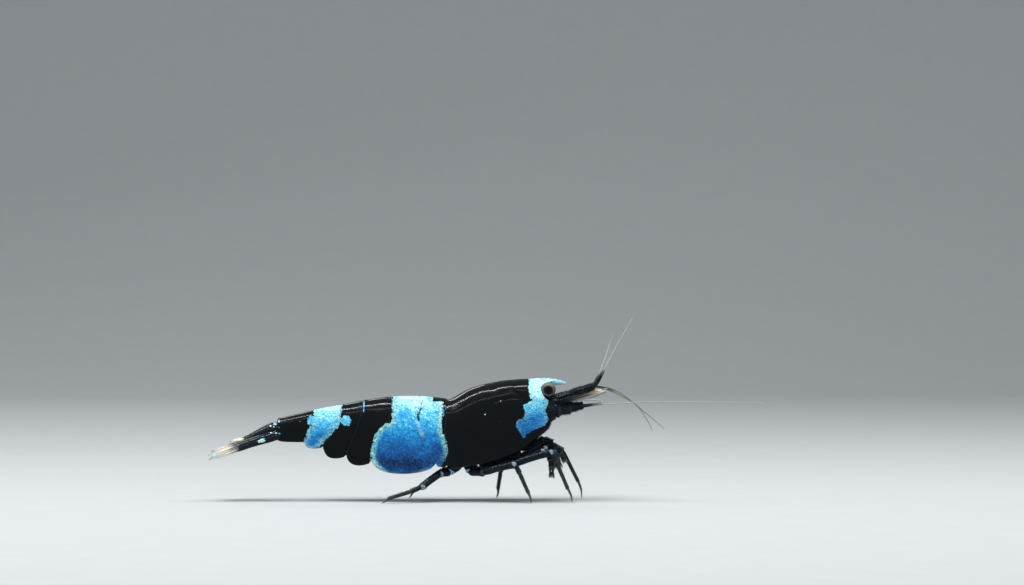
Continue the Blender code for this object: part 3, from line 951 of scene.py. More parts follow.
@dataclass(frozen=True)
class HairFinish:
    """Fine stiff hairs, a little paler at their tips."""

    name: str
    root: str
    tip: str

    def build(self) -> Material:
        """Make the material.

        Returns:
            The material.
        """
        made = Recipe(self.name)
        along = made.wobble(made.mark("along"), made.noise(1.5), 0.15)
        colour = made.mix(made.step(along, 0.1, 0.95), tint(self.root), tint(self.tip))
        grain = made.noise(20.0)
        return made.dress(colour, made.span(grain, 0.38, 0.6), made.relief(grain, 0.004, 0.3))


# ---- hairs


class Coat:
    """A coat of stiff hairs as one solid mesh, each with its own patch on the skin's layout."""

    LEVELS = (0.0, 0.4, 0.75)
    PATCH = 0.003

    def __init__(self, name: str, strips: int, seed: int) -> None:
        """Start with no hairs.

        Args:
            name: the piece's name.
            strips: how many stems it covers, each of which has a strip of the layout.
            seed: of its random draws.
        """
        self.name = name
        self.strips = strips
        self.strip = -1
        self.random = np.random.default_rng(seed)
        self.lots: list[tuple[Array, ...]] = []

    def next_strip(self) -> None:
        """Go on to the next stem's strip of the layout."""
        self.strip += 1

    def hairs(
        self, stem: Stem, count: int, length: tuple[float, float], radius: float,
        along: tuple[float, float] = (0.0, 1.0), angle: tuple[float, float] = (0.0, math.tau),
        lean: float = 0.8, droop: float = 0.0,
    ) -> None:
        """Set hairs on a stem.

        Args:
            stem: the stem.
            count: how many hairs.
            length: their shortest and longest.
            radius: half their thickness at the root.
            along: where on the stem, from 0 at its root to 1 at its tip.
            angle: where round the stem.
            lean: how far they lean to the stem's tip.
            droop: how far they curve to the tip, as a part of their length.
        """
        spot = self.random.uniform(*along, count)
        turn = self.random.uniform(*angle, count)
        wild = self.random.normal(0.0, 0.12, (count, 3))
        self._set(stem, spot, turn, wild, self.random.uniform(*length, count), radius, lean, droop)

    def row(
        self, stem: Stem, count: int, length: Callable[[Array], Array], radius: float,
        along: tuple[float, float], angle: float, lean: float, droop: float = 0.0,
    ) -> None:
        """Set an even row of hairs along one edge of a stem.

        Args:
            stem: the stem.
            count: how many hairs.
            length: their length at each place along the stem.
            radius: half their thickness at the root.
            along: where the row starts and ends.
            angle: which edge it follows.
            lean: how far the hairs lean to the stem's tip.
            droop: how far they curve to the tip, as a part of their length.
        """
        spot = np.linspace(*along, count) + self.random.normal(0.0, 0.2 / count, count)
        spot = np.clip(spot, 0.0, 1.0)
        wild = self.random.normal(0.0, 0.05, (count, 3))
        size = length(spot) * self.random.uniform(0.85, 1.1, count)
        self._set(stem, spot, np.full(count, angle), wild, size, radius, lean, droop)

    def _set(
        self, stem: Stem, spot: Array, turn: Array, wild: Array, size: Array,
        radius: float, lean: float, droop: float,
    ) -> None:
        """Set one hair at each spot and turn of a stem, with its patch of the layout.

        Args:
            stem: the stem.
            spot: where along the stem.
            turn: where round it.
            wild: how far each hair stands off the common way.
            size: how long each is.
            radius: half their thickness at the root.
            lean: how far they lean to the stem's tip.
            droop: how far they curve to the tip, as a part of their length.
        """
        place, out, ahead = stem.skin(spot, turn)
        way = unit_vectors(out + ahead * lean + wild)
        v = (self.strip + 0.04 + 0.9 * (turn % math.tau) / math.tau) / self.strips
        patch = np.stack((0.02 + 0.94 * spot, v), axis=1)
        self.lots.append((place - way * radius, way, size, np.full(len(spot), radius), ahead * droop, patch))

    def finish(self, material: Material, slot: str) -> Object:
        """Make the coat's mesh and its layout.

        Args:
            material: the hairs' finish.
            slot: passed on to the draft, which does not use it.

        Returns:
            The new object.
        """
        root, way, size, radius, droop, patch = (np.concatenate(part) for part in zip(*self.lots))
        count = len(root)
        helper = np.where(np.abs(way[:, 2:]) < 0.8, (0.0, 0.0, 1.0), (1.0, 0.0, 0.0))
        side = unit_vectors(np.cross(way, helper))
        rise = np.cross(way, side)
        points = np.empty((count, 10, 3))
        along = np.empty((count, 10))
        layout = np.empty((count, 10, 2))
        for level, t in enumerate(self.LEVELS):
            middle = root + (way * t + droop * t * t) * size[:, None]
            for corner in range(3):
                angle = math.tau * corner / 3
                out = side * math.cos(angle) + rise * math.sin(angle)
                points[:, level * 3 + corner] = middle + out * (radius * (1 - 0.7 * t))[:, None]
                along[:, level * 3 + corner] = t
                layout[:, level * 3 + corner] = patch + self.PATCH * np.array((level, corner)) / 3
        points[:, 9] = root + (way + droop) * size[:, None]
        along[:, 9] = 1.0
        layout[:, 9] = patch + self.PATCH * np.array((1.0, 0.33))
        base = [(2, 1, 0)]
        for level in (0, 3):
            for corner in range(3):
                other = (corner + 1) % 3
                base.append((level + corner, level + other, level + 3 + other, level + 3 + corner))
        base += [(6, 7, 9), (7, 8, 9), (8, 6, 9)]
        faces = [tuple(corner + hair * 10 for corner in face) for hair in range(count) for face in base]
        draft = Draft(self.name)
        draft.add(points, faces, along=along)
        made = draft.finish((material,), slot)
        mesh = made.data
        corners = np.empty(len(mesh.loops), dtype=int)
        mesh.loops.foreach_get("vertex_index", corners)
        flat = np.clip(layout.reshape(-1, 2)[corners], 0.0, 1.0)
        mesh.uv_layers.new(name="OFBake").data.foreach_set("uv", flat.reshape(-1))
        return made


# ---- shell


@dataclass(frozen=True)
class Seam:
    """Where two plates meet: its x at each height, and the height of its lower corner."""

    line: Profile
    corner: float


@dataclass(frozen=True)
class Plate:
    """One arched plate of shell, from its front seam to its rear one."""

    front: Seam
    rear: Seam
    top: Profile
    half_width: Profile
    hem: Profile
    tuck: float = 0.08

    WIDEST = 0.55  # how far down it is widest, as a part of its height
    DOME = 0.64  # how far round it that is
    ROUNDS = 24  # how often x and z are corrected by each other

    def surface(self, along: Array, around: Array) -> Array:
        """Places on the plate.

        Args:
            along: 0 at the front seam to 1 at the rear one, for each row.
            around: -1 at the right hem to 1 at the left one, for each column.

        Returns:
            A grid of plan points.
        """
        along, around = along[:, None], around[None, :]
        share = np.abs(around)
        angle = np.radians(90.0) * np.clip(share / self.DOME, 0.0, 1.0)
        below = np.clip((share - self.DOME) / (1.0 - self.DOME), 0.0, 1.0)
        depth = self.WIDEST * (1.0 - np.cos(angle)) + (1.0 - self.WIDEST) * below
        width = np.sin(angle) * (1.0 - self.tuck * below**2)
        inside = np.clip(along, 0.0, 1.0)
        x = np.broadcast_to(self.front.line(self.front.corner), (along * around).shape)
        for _ in range(self.ROUNDS):
            z = self.top(x) + depth * (self.hem(inside) - self.top(x))
            front, rear = self.front.line(z), self.rear.line(z)
            x = 0.5 * x + 0.5 * (front + (rear - front) * inside)
        x = x + inside - along  # what lies beyond a seam runs straight on
        z = self.top(x) + depth * (self.hem(inside) - self.top(x))
        y = self.half_width(x) * width * np.sign(around)
        return np.stack(np.broadcast_arrays(x, y, z), axis=-1)


@dataclass(frozen=True)
class Patch:
    """A blue patch: its outline seen from the side, and its tone by height, paler higher up partly by its own
    colour and partly as painted top light.
    """

    outline: tuple[tuple[float, float], ...]
    heights: tuple[float, float]
    tones: tuple[float, float]
    rim_light: float = 1.0


@dataclass(frozen=True)
class Markings:
    """The blue patches, the same on both sides of the body, and the lines in them."""

    patches: tuple[Patch, ...] = (
        Patch(heights=(4.9, 8.3), tones=(0.33, 0.95), rim_light=0.35, outline=(
            (3.19, 9.9), (3.17, 8.62), (3.22, 8.18), (3.42, 7.78), (2.73, 7.43), (2.86, 7.0), (2.81, 6.46),
            (2.33, 6.32), (2.19, 5.88), (2.5, 5.35), (2.73, 4.92), (3.04, 5.26), (3.61, 5.57),
            (4.41, 5.88), (4.67, 6.37), (4.45, 7.03), (4.65, 7.62), (4.9, 8.2), (6.4, 8.4), (6.4, 9.9),
        )),
        Patch(heights=(2.2, 7.95), tones=(0.08, 0.95), outline=(
            (-7.27, 8.6), (-7.27, 6.18), (-7.85, 5.98), (-8.58, 5.25), (-8.88, 4.02), (-8.92, 3.28),
            (-8.58, 2.69), (-7.7, 1.9), (-5.88, 1.8), (-5.15, 2.0), (-4.42, 2.3), (-3.73, 2.45),
            (-3.28, 3.15), (-3.02, 3.82), (-3.08, 4.51), (-3.42, 5.38), (-3.48, 6.23), (-3.38, 7.31),
            (-3.42, 7.69), (-4.2, 7.69), (-4.2, 8.6),
        )),
        Patch(heights=(4.1, 7.2), tones=(0.42, 0.92), rim_light=0.5, outline=(
            (-13.3, 7.6), (-11.12, 7.8), (-11.3, 5.92), (-12.55, 4.51), (-13.1, 3.9), (-14.0, 4.1),
            (-14.07, 4.6), (-13.7, 5.6), (-13.3, 6.2),
        )),
    )
    SPOT_DEPTH = 0.16  # how deep in the blue a spot's middle counts, so that its rim stays sharp
    SPOT_RIM = 0.2
    # Small spots: x, z, half length, half height and tone
    spots: tuple[tuple[float, ...], ...] = (
        (-10.82, 6.23, 0.38, 0.38, 0.74),
        (-13.52, 6.23, 0.27, 0.38, 0.72),
        (-9.46, 7.35, 0.05, 0.4, 0.62),
        (-16.0, 6.2, 0.07, 0.1, 0.76),
        (-15.98, 5.7, 0.04, 0.06, 0.7),
        (-15.95, 5.22, 0.12, 0.04, 0.8),
        (-3.35, 6.9, 0.05, 0.24, 0.5),
        # painted highlights: the next three spots are pale glints on the black head shell
        (1.02, 7.76, 0.06, 0.035, 0.93),
        (-0.17, 6.73, 0.055, 0.055, 0.9),
        (0.95, 6.2, 0.035, 0.035, 0.8),
        (-10.3, 4.4, 0.04, 0.04, 0.9),
    )
    # Where the blue is deeper or paler: x, z, half length, half height and change of tone
    shades: tuple[tuple[float, ...], ...] = (
        (-7.4, 3.2, 0.95, 0.4, -0.17),
        (-5.8, 3.0, 0.8, 0.36, -0.15),
        (-3.6, 3.95, 0.42, 0.55, -0.14),
        (-6.6, 2.36, 1.6, 0.15, 0.16),
        (-3.75, 2.7, 0.5, 0.32, 0.18),
        (-6.3, 6.7, 0.75, 0.4, -0.09),
        (-12.5, 5.0, 0.7, 0.5, -0.12),
        (3.3, 6.0, 0.9, 0.5, -0.1),
    )
    # Where a pale rim fades away: x, z, half length and half height
    rim_gaps: tuple[tuple[float, ...], ...] = (
        (-3.4, 2.8, 1.1, 1.4),
        (3.2, 5.3, 1.6, 1.1),
        (-6.3, 1.9, 0.75, 0.45),
        (-3.9, 2.2, 0.7, 0.4),
    )
    # Painted shade: dark lines in the blue along the seam between the first two tail plates and along a
    # groove of the head shell, each with how much broader than a hairline it is
    dark_lines: tuple[tuple[float, tuple[tuple[float, float], ...]], ...] = (
        (-0.005, ((2.5, 6.12), (2.9, 6.22), (3.42, 6.4))),
        (-0.01, ((-4.98, 7.85), (-5.04, 7.5), (-5.08, 7.15))),
        (0.035, ((-5.08, 7.15), (-5.22, 6.85), (-5.3, 6.66), (-5.22, 6.32))),
        (0.0, ((-5.28, 6.72), (-5.5, 6.7))),
    )
    pale_lines: tuple[tuple[tuple[float, float], ...], ...] = (((-5.4, 6.15), (-5.2, 5.75), (-4.95, 5.2)),)

    def marks(self, points: Array) -> dict[str, Array]:
        """Work out the marks of places on the shell.

        Args:
            points: a grid of plan points.

        Returns:
            The depth into the nearest patch, its tone, its rim's strength and the distances to the lines.
        """
        flat = points.reshape(-1, 3)[:, (0, 2)]
        layers = []
        for patch in self.patches:
            (low, high), (first, last) = patch.heights, patch.tones
            # partly painted light: the tone rises with height for the blue's own paling and for light from
            # above
            height = np.minimum((flat[:, 1] - low) / (high - low), 1.0)
            tone = first + (last - first) * height
            layers.append((distance_inside(flat, patch.outline), tone, patch.rim_light))
        for x, z, half_length, half_height, value in self.spots:
            far = np.hypot((flat[:, 0] - x) / half_length, (flat[:, 1] - z) / half_height)
            small = min(half_length, half_height)
            depth = (1.0 - far) * np.clip(self.SPOT_DEPTH, small, 3.0 * small)
            layers.append((depth, value, self.SPOT_RIM))
        edge = np.full(len(flat), -9.0)
        tone, rim = np.zeros((2, len(flat)))
        for depth, value, light in layers:
            tone, rim = np.where(depth > edge, (value + 0 * depth, light + 0 * depth), (tone, rim))
            edge = np.maximum(edge, depth)
        for *place, change in self.shades:
            tone += change * near(flat, *place)
        for place in self.rim_gaps:
            rim *= 1.0 - near(flat, *place)
        # painted shade along the seam and groove lines
        dark = np.min([distance_to_line(flat, line) - wide for wide, line in self.dark_lines], axis=0)
        pale = np.min([distance_to_line(flat, line) for line in self.pale_lines], axis=0)
        found = {"blue_edge": edge, "tone": tone, "rim_light": rim, "dark_line": dark, "pale_line": pale}
        return {name: values.reshape(points.shape[:2]) for name, values in found.items()}


HALF_WIDTH = Profile(
    (-16.2, 0.82), (-13.4, 1.1), (-11.2, 1.4), (-9.4, 1.68), (-7.3, 1.93), (-5.1, 2.02), (-3.0, 2.0),
    (-1.0, 2.16), (1.2, 2.12), (3.0, 1.82), (4.2, 1.5), (4.9, 1.16),
)
NAPE = Seam(Profile((2.6, -3.06), (4.0, -2.98), (5.6, -3.2), (7.8, -3.02)), 2.86)


@dataclass
class HeadShell:
    """The big plate over head and chest, with its beak between the eyes."""

    finish: Material
    markings: Markings
    front_rows: int = 20
    rows: int = 96
    columns: int = 161
    thickness: float = 0.11
    top: Profile = Profile((-3.0, 7.76), (-1.3, 8.68), (0.8, 9.21), (2.8, 9.4), (4.9, 9.32))
    front: Seam = Seam(
        Profile(
            (5.7, 4.74), (6.1, 4.86), (6.8, 4.74), (7.25, 4.7), (7.5, 4.96), (7.64, 4.8), (7.95, 4.42),
            (8.3, 4.2), (8.65, 4.14), (8.95, 4.24), (9.14, 4.55), (9.3, 4.95), (9.4, 5.0),
        ),
        5.95,
    )
    hem: Profile = Profile(
        (0.0, 5.95), (0.04, 5.6), (0.12, 5.02), (0.21, 4.42), (0.36, 3.72), (0.56, 3.18), (0.8, 2.8),
        (0.95, 2.62), (1.0, 2.86),
    )
    # Grooves: (line of (x, z), depth, width)
    grooves: tuple = (
        (((-2.9, 7.15), (-2.0, 7.5), (-0.9, 8.0), (0.3, 8.42), (1.3, 8.5), (2.2, 8.3)), 0.022, 0.3),
        (((1.9, 9.5), (2.2, 8.6), (2.2, 7.7), (1.9, 7.0), (1.3, 6.4)), 0.018, 0.22),
        (((2.33, 6.1), (2.9, 6.22), (3.42, 6.42), (4.04, 6.54), (4.8, 6.6)), 0.045, 0.07),
        (((-2.6, 4.6), (-1.0, 4.0), (0.8, 4.1), (2.6, 5.0)), 0.03, 0.3),
        (((0.55, 7.72), (1.1, 7.86), (1.9, 8.0), (2.7, 7.98)), 0.045, 0.13),
        (((1.75, 8.62), (2.1, 8.46), (2.35, 8.28)), 0.04, 0.12),
        (((0.1, 8.8), (0.5, 8.86)), 0.03, 0.16),
    )
    # Low swellings: height, x, z, half length and half height
    swellings: tuple = ((0.1, -0.3, 5.2, 2.0, 1.3), (0.05, 3.3, 7.3, 0.7, 0.6))
    # The beak: x, height of its upper edge, half its width and half its height
    beak: tuple = (
        (2.7, 9.4, 0.13, 0.1), (3.4, 9.42, 0.16, 0.16), (4.2, 9.43, 0.16, 0.21), (4.8, 9.42, 0.14, 0.22),
        (5.3, 9.34, 0.11, 0.2), (5.7, 9.24, 0.07, 0.14), (5.95, 9.16, 0.04, 0.07), (6.07, 9.1, 0.015, 0.025),
    )

    def build(self) -> list[Object]:
        """Make the plate and its beak as one piece.

        Returns:
            The piece.
        """
        draft = Draft("head_shell")
        plate = Plate(self.front, NAPE, self.top, HALF_WIDTH, self.hem, tuck=0.1)
        rim = np.linspace(0.0, 0.12, self.front_rows, endpoint=False)
        along = np.concatenate((rim, np.linspace(0.12, 1.04, self.rows)))
        around = np.linspace(-1.0, 1.0, self.columns)
        grid = plate.surface(along, around)
        grid = grid + grid_normals(grid) * self._relief(grid, along, around)[..., None]
        draft.sheet(grid, self.thickness, sparkle=1.0, free_edge=free_edge(grid), **self.markings.marks(grid))
        self._draw_beak(draft)
        return [draft.finish((self.finish,), "black_shell", ("carapace",))]

    def _relief(self, grid: Array, along: Array, around: Array) -> Array:
        """Work out how far the plate stands out or in, for its grooves, swellings and rim.

        Args:
            grid: the plate's points.
            along: 0 at the front seam to 1 at the rear one, for each row.
            around: -1 at the right hem to 1 at the left one, for each column.

        Returns:
            The distance for each point.
        """
        flat = grid.reshape(-1, 3)[:, (0, 2)]
        lift = sum(height * near(flat, *place) for height, *place in self.swellings)
        for line, depth, width in self.grooves:
            lift -= depth * bump(distance_to_line(flat, line), 0.0, width)
        hem = 0.035 * bump(np.abs(around), 0.985, 0.012) * ease(along, 0.05, 0.2)[:, None]
        return lift.reshape(grid.shape[:2]) + hem + 0.04 * ease(along, 0.965, 1.0)[:, None]

    def _draw_beak(self, draft: Draft) -> None:
        """Add the beak, a narrow blade with small teeth on its upper edge.

        Args:
            draft: the mesh it is added to.
        """
        x, top, wide, high = smooth_route(self.beak, 9).T
        teeth = 0.022 * np.maximum(0.0, np.sin(x * 15.0)) * ease(x, 3.4, 3.8) * ease(x, 5.9, 5.5)
        middle = np.stack((x, np.zeros_like(x), top - high + teeth), axis=1)
        radii = np.stack((wide, high + teeth), axis=1)
        marks = self.markings.marks(middle[:, None])
        marks["tone"] -= 0.03
        draft.stem(middle, radii, 18, ACROSS, free_edge=1.0, **marks)


@dataclass
class TailShell:
    """The six plates of the tail, each tucked under the one ahead of it.

    Each side of the second is a big round lobe that overlaps both its neighbours.
    """

    finish: Material
    flesh: Material
    markings: Markings
    rows: int = 47
    columns: int = 121
    thickness: float = 0.1
    top: Profile = Profile(
        (-16.1, 6.36), (-13.3, 7.03), (-11.1, 7.44), (-9.4, 7.78), (-7.3, 8.05), (-5.1, 8.07), (-3.0, 7.9)
    )
    seams: tuple[Seam, ...] = (
        NAPE,
        Seam(Profile((2.9, -3.95), (4.4, -4.55), (5.4, -5.02), (6.6, -5.25), (8.0, -5.1)), 3.0),
        Seam(Profile((3.0, -8.86), (4.1, -8.86), (5.2, -8.45), (6.2, -7.55), (7.2, -7.28), (8.0, -7.3)), 3.2),
        Seam(Profile((3.5, -10.8), (4.6, -10.4), (5.9, -9.85), (7.8, -9.42)), 3.62),
        Seam(Profile((4.2, -12.6), (5.1, -11.85), (6.0, -11.3), (7.4, -11.12)), 4.25),
        Seam(Profile((4.4, -14.02), (5.1, -13.85), (5.9, -13.45), (7.0, -13.3)), 4.52),
        Seam(Profile((4.5, -16.1), (6.4, -16.04)), 4.72),
    )
    lowest: tuple[float, ...] = (2.74, 2.22, 2.84, 3.36, 4.1, 4.56)
    belly: Profile = Profile(
        (-16.0, 4.86), (-14.0, 4.86), (-12.95, 4.84), (-10.95, 4.3), (-8.85, 3.9), (-6.2, 3.62),
        (-4.0, 3.6), (-3.0, 3.3),
    )

    def build(self) -> list[Object]:
        """Make the plates, from the front to the rear."""
        return [self._plate(number) for number in range(1, len(self.lowest) + 1)]

    @staticmethod
    def hem(front: float, lowest: float, rear: float) -> Profile:
        """Draw the lower edge of a plate, a lobe between its two corners.

        Args:
            front: height of the front corner.
            lowest: height of the lobe's lowest place.
            rear: height of the rear corner.

        Returns:
            The height along the plate.
        """
        falls = ((0.0, 1.0), (0.08, 0.52), (0.26, 0.14), (0.52, 0.0))
        rises = ((0.78, 0.14), (0.93, 0.5), (1.0, 1.0))
        knots = [(place, lowest + share * (front - lowest)) for place, share in falls]
        return Profile(*knots, *((place, lowest + share * (rear - lowest)) for place, share in rises))

    def _plate(self, number: int) -> Object:
        """Make one plate with the soft underside between its lobes.

        Args:
            number: its number from the front.

        Returns:
            The piece.
        """
        front, rear = self.seams[number - 1 : number + 1]
        hem = self.hem(front.corner, self.lowest[number - 1], rear.corner)
        plate = Plate(front, rear, self.top, HALF_WIDTH, hem, 0.45 if number == 6 else 0.08)
        along = np.concatenate(((-0.3, -0.2, -0.1, -0.04), np.linspace(0.0, 1.0, self.rows), (1.06,)))
        around = np.linspace(-1.0, 1.0, self.columns)
        grid = plate.surface(along, around)
        lift = self._lift(number, along, around)
        grid = grid + grid_normals(grid) * lift[..., None]
        marks = self.markings.marks(grid)
        marks["blue_edge"] = np.where(lift < -0.08, np.minimum(marks["blue_edge"], 0.0), marks["blue_edge"])
        draft = Draft(f"tail_plate_{number}")
        draft.sheet(grid, self.thickness, sparkle=1.0, free_edge=free_edge(grid), **marks)
        self._draw_belly(draft, plate, number)
        slot = "blue_shell" if number in (1, 2, 5) else "black_shell"
        return draft.finish((self.finish, self.flesh), slot, (f"abdomen_{number}",))

    @staticmethod
    def _lift(number: int, along: Array, around: Array) -> Array:
        """Work out how far a plate stands out or is tucked in.

        Args:
            number: its number from the front.
            along: 0 at the front seam to 1 at the rear one, for each row.
            around: -1 at the right hem to 1 at the left one, for each column.

        Returns:
            The distance for each row and column.
        """
        along, side = along[:, None], ease(np.abs(around), 0.42, 0.58)
        under = {1: -0.12, 2: -0.12 + 0.16 * side}.get(number, -0.13)
        lift = under * (1.0 - ease(along, -0.02, 0.1)) - 0.02 * bump(along, 0.12, 0.03)
        lift = lift + ease(along, 0.9, 1.0) * (0.02 - 0.14 * side if number == 1 else 0.025)
        return lift + 0.03 * bump(np.abs(around), 0.98, 0.015) * ease(along, 0.1, 0.2)

    def _draw_belly(self, draft: Draft, plate: Plate, number: int) -> None:
        """Add the ribbed skin that closes a plate below.

        Args:
            draft: the mesh it is added to.
            plate: the plate.
            number: its number from the front.
        """
        level = float(self.belly(float(plate.front.line(4.0))))
        start, end = float(plate.front.line(level)) + 0.02, float(plate.rear.line(level)) - 0.02
        x = np.linspace(start, end, 22)[:, None]
        y = np.linspace(-1.0, 1.0, 25)[None, :]
        half = HALF_WIDTH(x) * (0.8 if number == 6 else 0.97) - 0.12
        rib = 0.06 * np.cos((x - start) / (end - start) * math.tau * 1.5)
        z = self.belly(x) - 0.14 * (1.0 - y**2) + rib * (1.0 - y**4)
        draft.sheet(np.stack(np.broadcast_arrays(x, -y * half, z), axis=-1), 0.08, finish=1)


@dataclass
class Flesh:
    """The dark skin under the head shell, which carries the legs and closes the mouth end."""

    finish: Material
    # x, lower edge, upper edge and half width
    sections: tuple = (
        (-3.1, 3.2, 6.9, 1.5), (-1.6, 3.1, 7.2, 1.62), (0.0, 3.25, 7.4, 1.66), (1.2, 3.55, 7.5, 1.55),
        (2.4, 4.15, 7.9, 1.5), (3.4, 5.0, 8.3, 1.34), (4.2, 5.75, 8.5, 1.06), (4.8, 6.3, 8.45, 0.8),
        (5.15, 6.75, 8.25, 0.5),
    )
    # The upper lip: place, half width and half thickness
    lip: tuple = ((4.7, 0.0, 6.75, 0.28, 0.24), (5.02, 0.0, 6.6, 0.26, 0.2), (5.14, 0.0, 6.3, 0.16, 0.12))

    def build(self) -> list[Object]:
        """Make the skin, with a ridge for each pair of legs.

        Returns:
            The piece.
        """
        x, low, high, half = smooth_route(self.sections, 8).T
        ridge = 0.05 * np.sin(x * math.tau / 1.05) * ease(x, 2.8, 2.0)
        middle = np.stack((x, np.zeros_like(x), (low + high) / 2 + ridge / 2), axis=1)
        radii = np.stack((half, (high - low) / 2 - ridge / 2), axis=1)
        draft = Draft("chest_skin")
        draft.stem(middle, radii, 40, ACROSS, cap=0.25)
        lip = smooth_route(self.lip, 6)
        draft.stem(lip[:, :3], lip[:, 3:], 20, ACROSS, cap=0.6)
        return [draft.finish((self.finish,), "flesh", ("thorax",))]


# ---- limbs


@dataclass(frozen=True)
class Joint:
    """One stiff segment of a limb: where it ends, its radius at its root and near its end."""

    end: Sequence[float]
    root: float
    tip: float
    spot: float = 0.0  # how blue its far end is
    clear: float = 0.0  # how clear and brown its far end is


SEGMENT_SHAPE = Profile(
    (0.0, 0.6), (0.05, 0.82), (0.16, 0.98), (0.5, 1.0), (0.84, 1.03), (0.95, 1.12), (1.0, 0.98)
)


def draw_segment(
    draft: Draft, start: Array, joint: Joint, before: float = 0.0, sides: int = 14,
    bow: float = 0.02, joint_light: float = 0.16,
) -> Stem:
    """Add one stiff segment of a limb, flared where the next one starts.

    Args:
        draft: the mesh it is added to.
        start: where it starts.
        joint: its end and sizes.
        before: how clear the limb is at its start.
        sides: how many points to a section.
        bow: how far its middle bends up, as a part of its length.
        joint_light: how pale the skin at its ends is.

    Returns:
        The stem, for setting hairs on.
    """
    run = np.array(joint.end, dtype=float) - start
    length = np.linalg.norm(run)
    t = np.linspace(0.0, 1.0, 19)
    route = start + run * t[:, None]
    route[:, 2] += bow * length * np.sin(t * math.pi)
    radii = (joint.root + (joint.tip - joint.root) * t) * SEGMENT_SHAPE(t)
    turn = np.arange(sides) * math.tau / sides
    outside = ease(np.cos(turn) * math.copysign(1.0, start[1]) + 0.25 * np.sin(turn), 0.58, 1.0)
    marks = {
        "joint": np.minimum(t, 1.0 - t) * length,
        "joint_light": joint_light,
        "clear": before + (joint.clear - before) * t,
        "spot": joint.spot * ease((1.0 - t) * length, 0.18, 0.05)[:, None] * outside,
    }
    return draft.stem(route, radii, sides, cap=0.6, **marks)


def draw_claw(draft: Draft, start: Array, end: Array, radius: float) -> Stem:
    """Add a curved, pointed claw.

    Args:
        draft: the mesh it is added to.
        start: where it starts.
        end: its point.
        radius: half its thickness at the start.

    Returns:
        The stem, for setting hairs on.
    """
    t = np.linspace(0.0, 1.0, 11)
    route = start + (end - start) * t[:, None]
    route[:, 0] += 0.08 * np.linalg.norm(end - start) * np.sin(t * math.pi)
    return draft.stem(route, radius * (1.0 - t) ** 0.7 + 0.008, 10, clear=0.7)


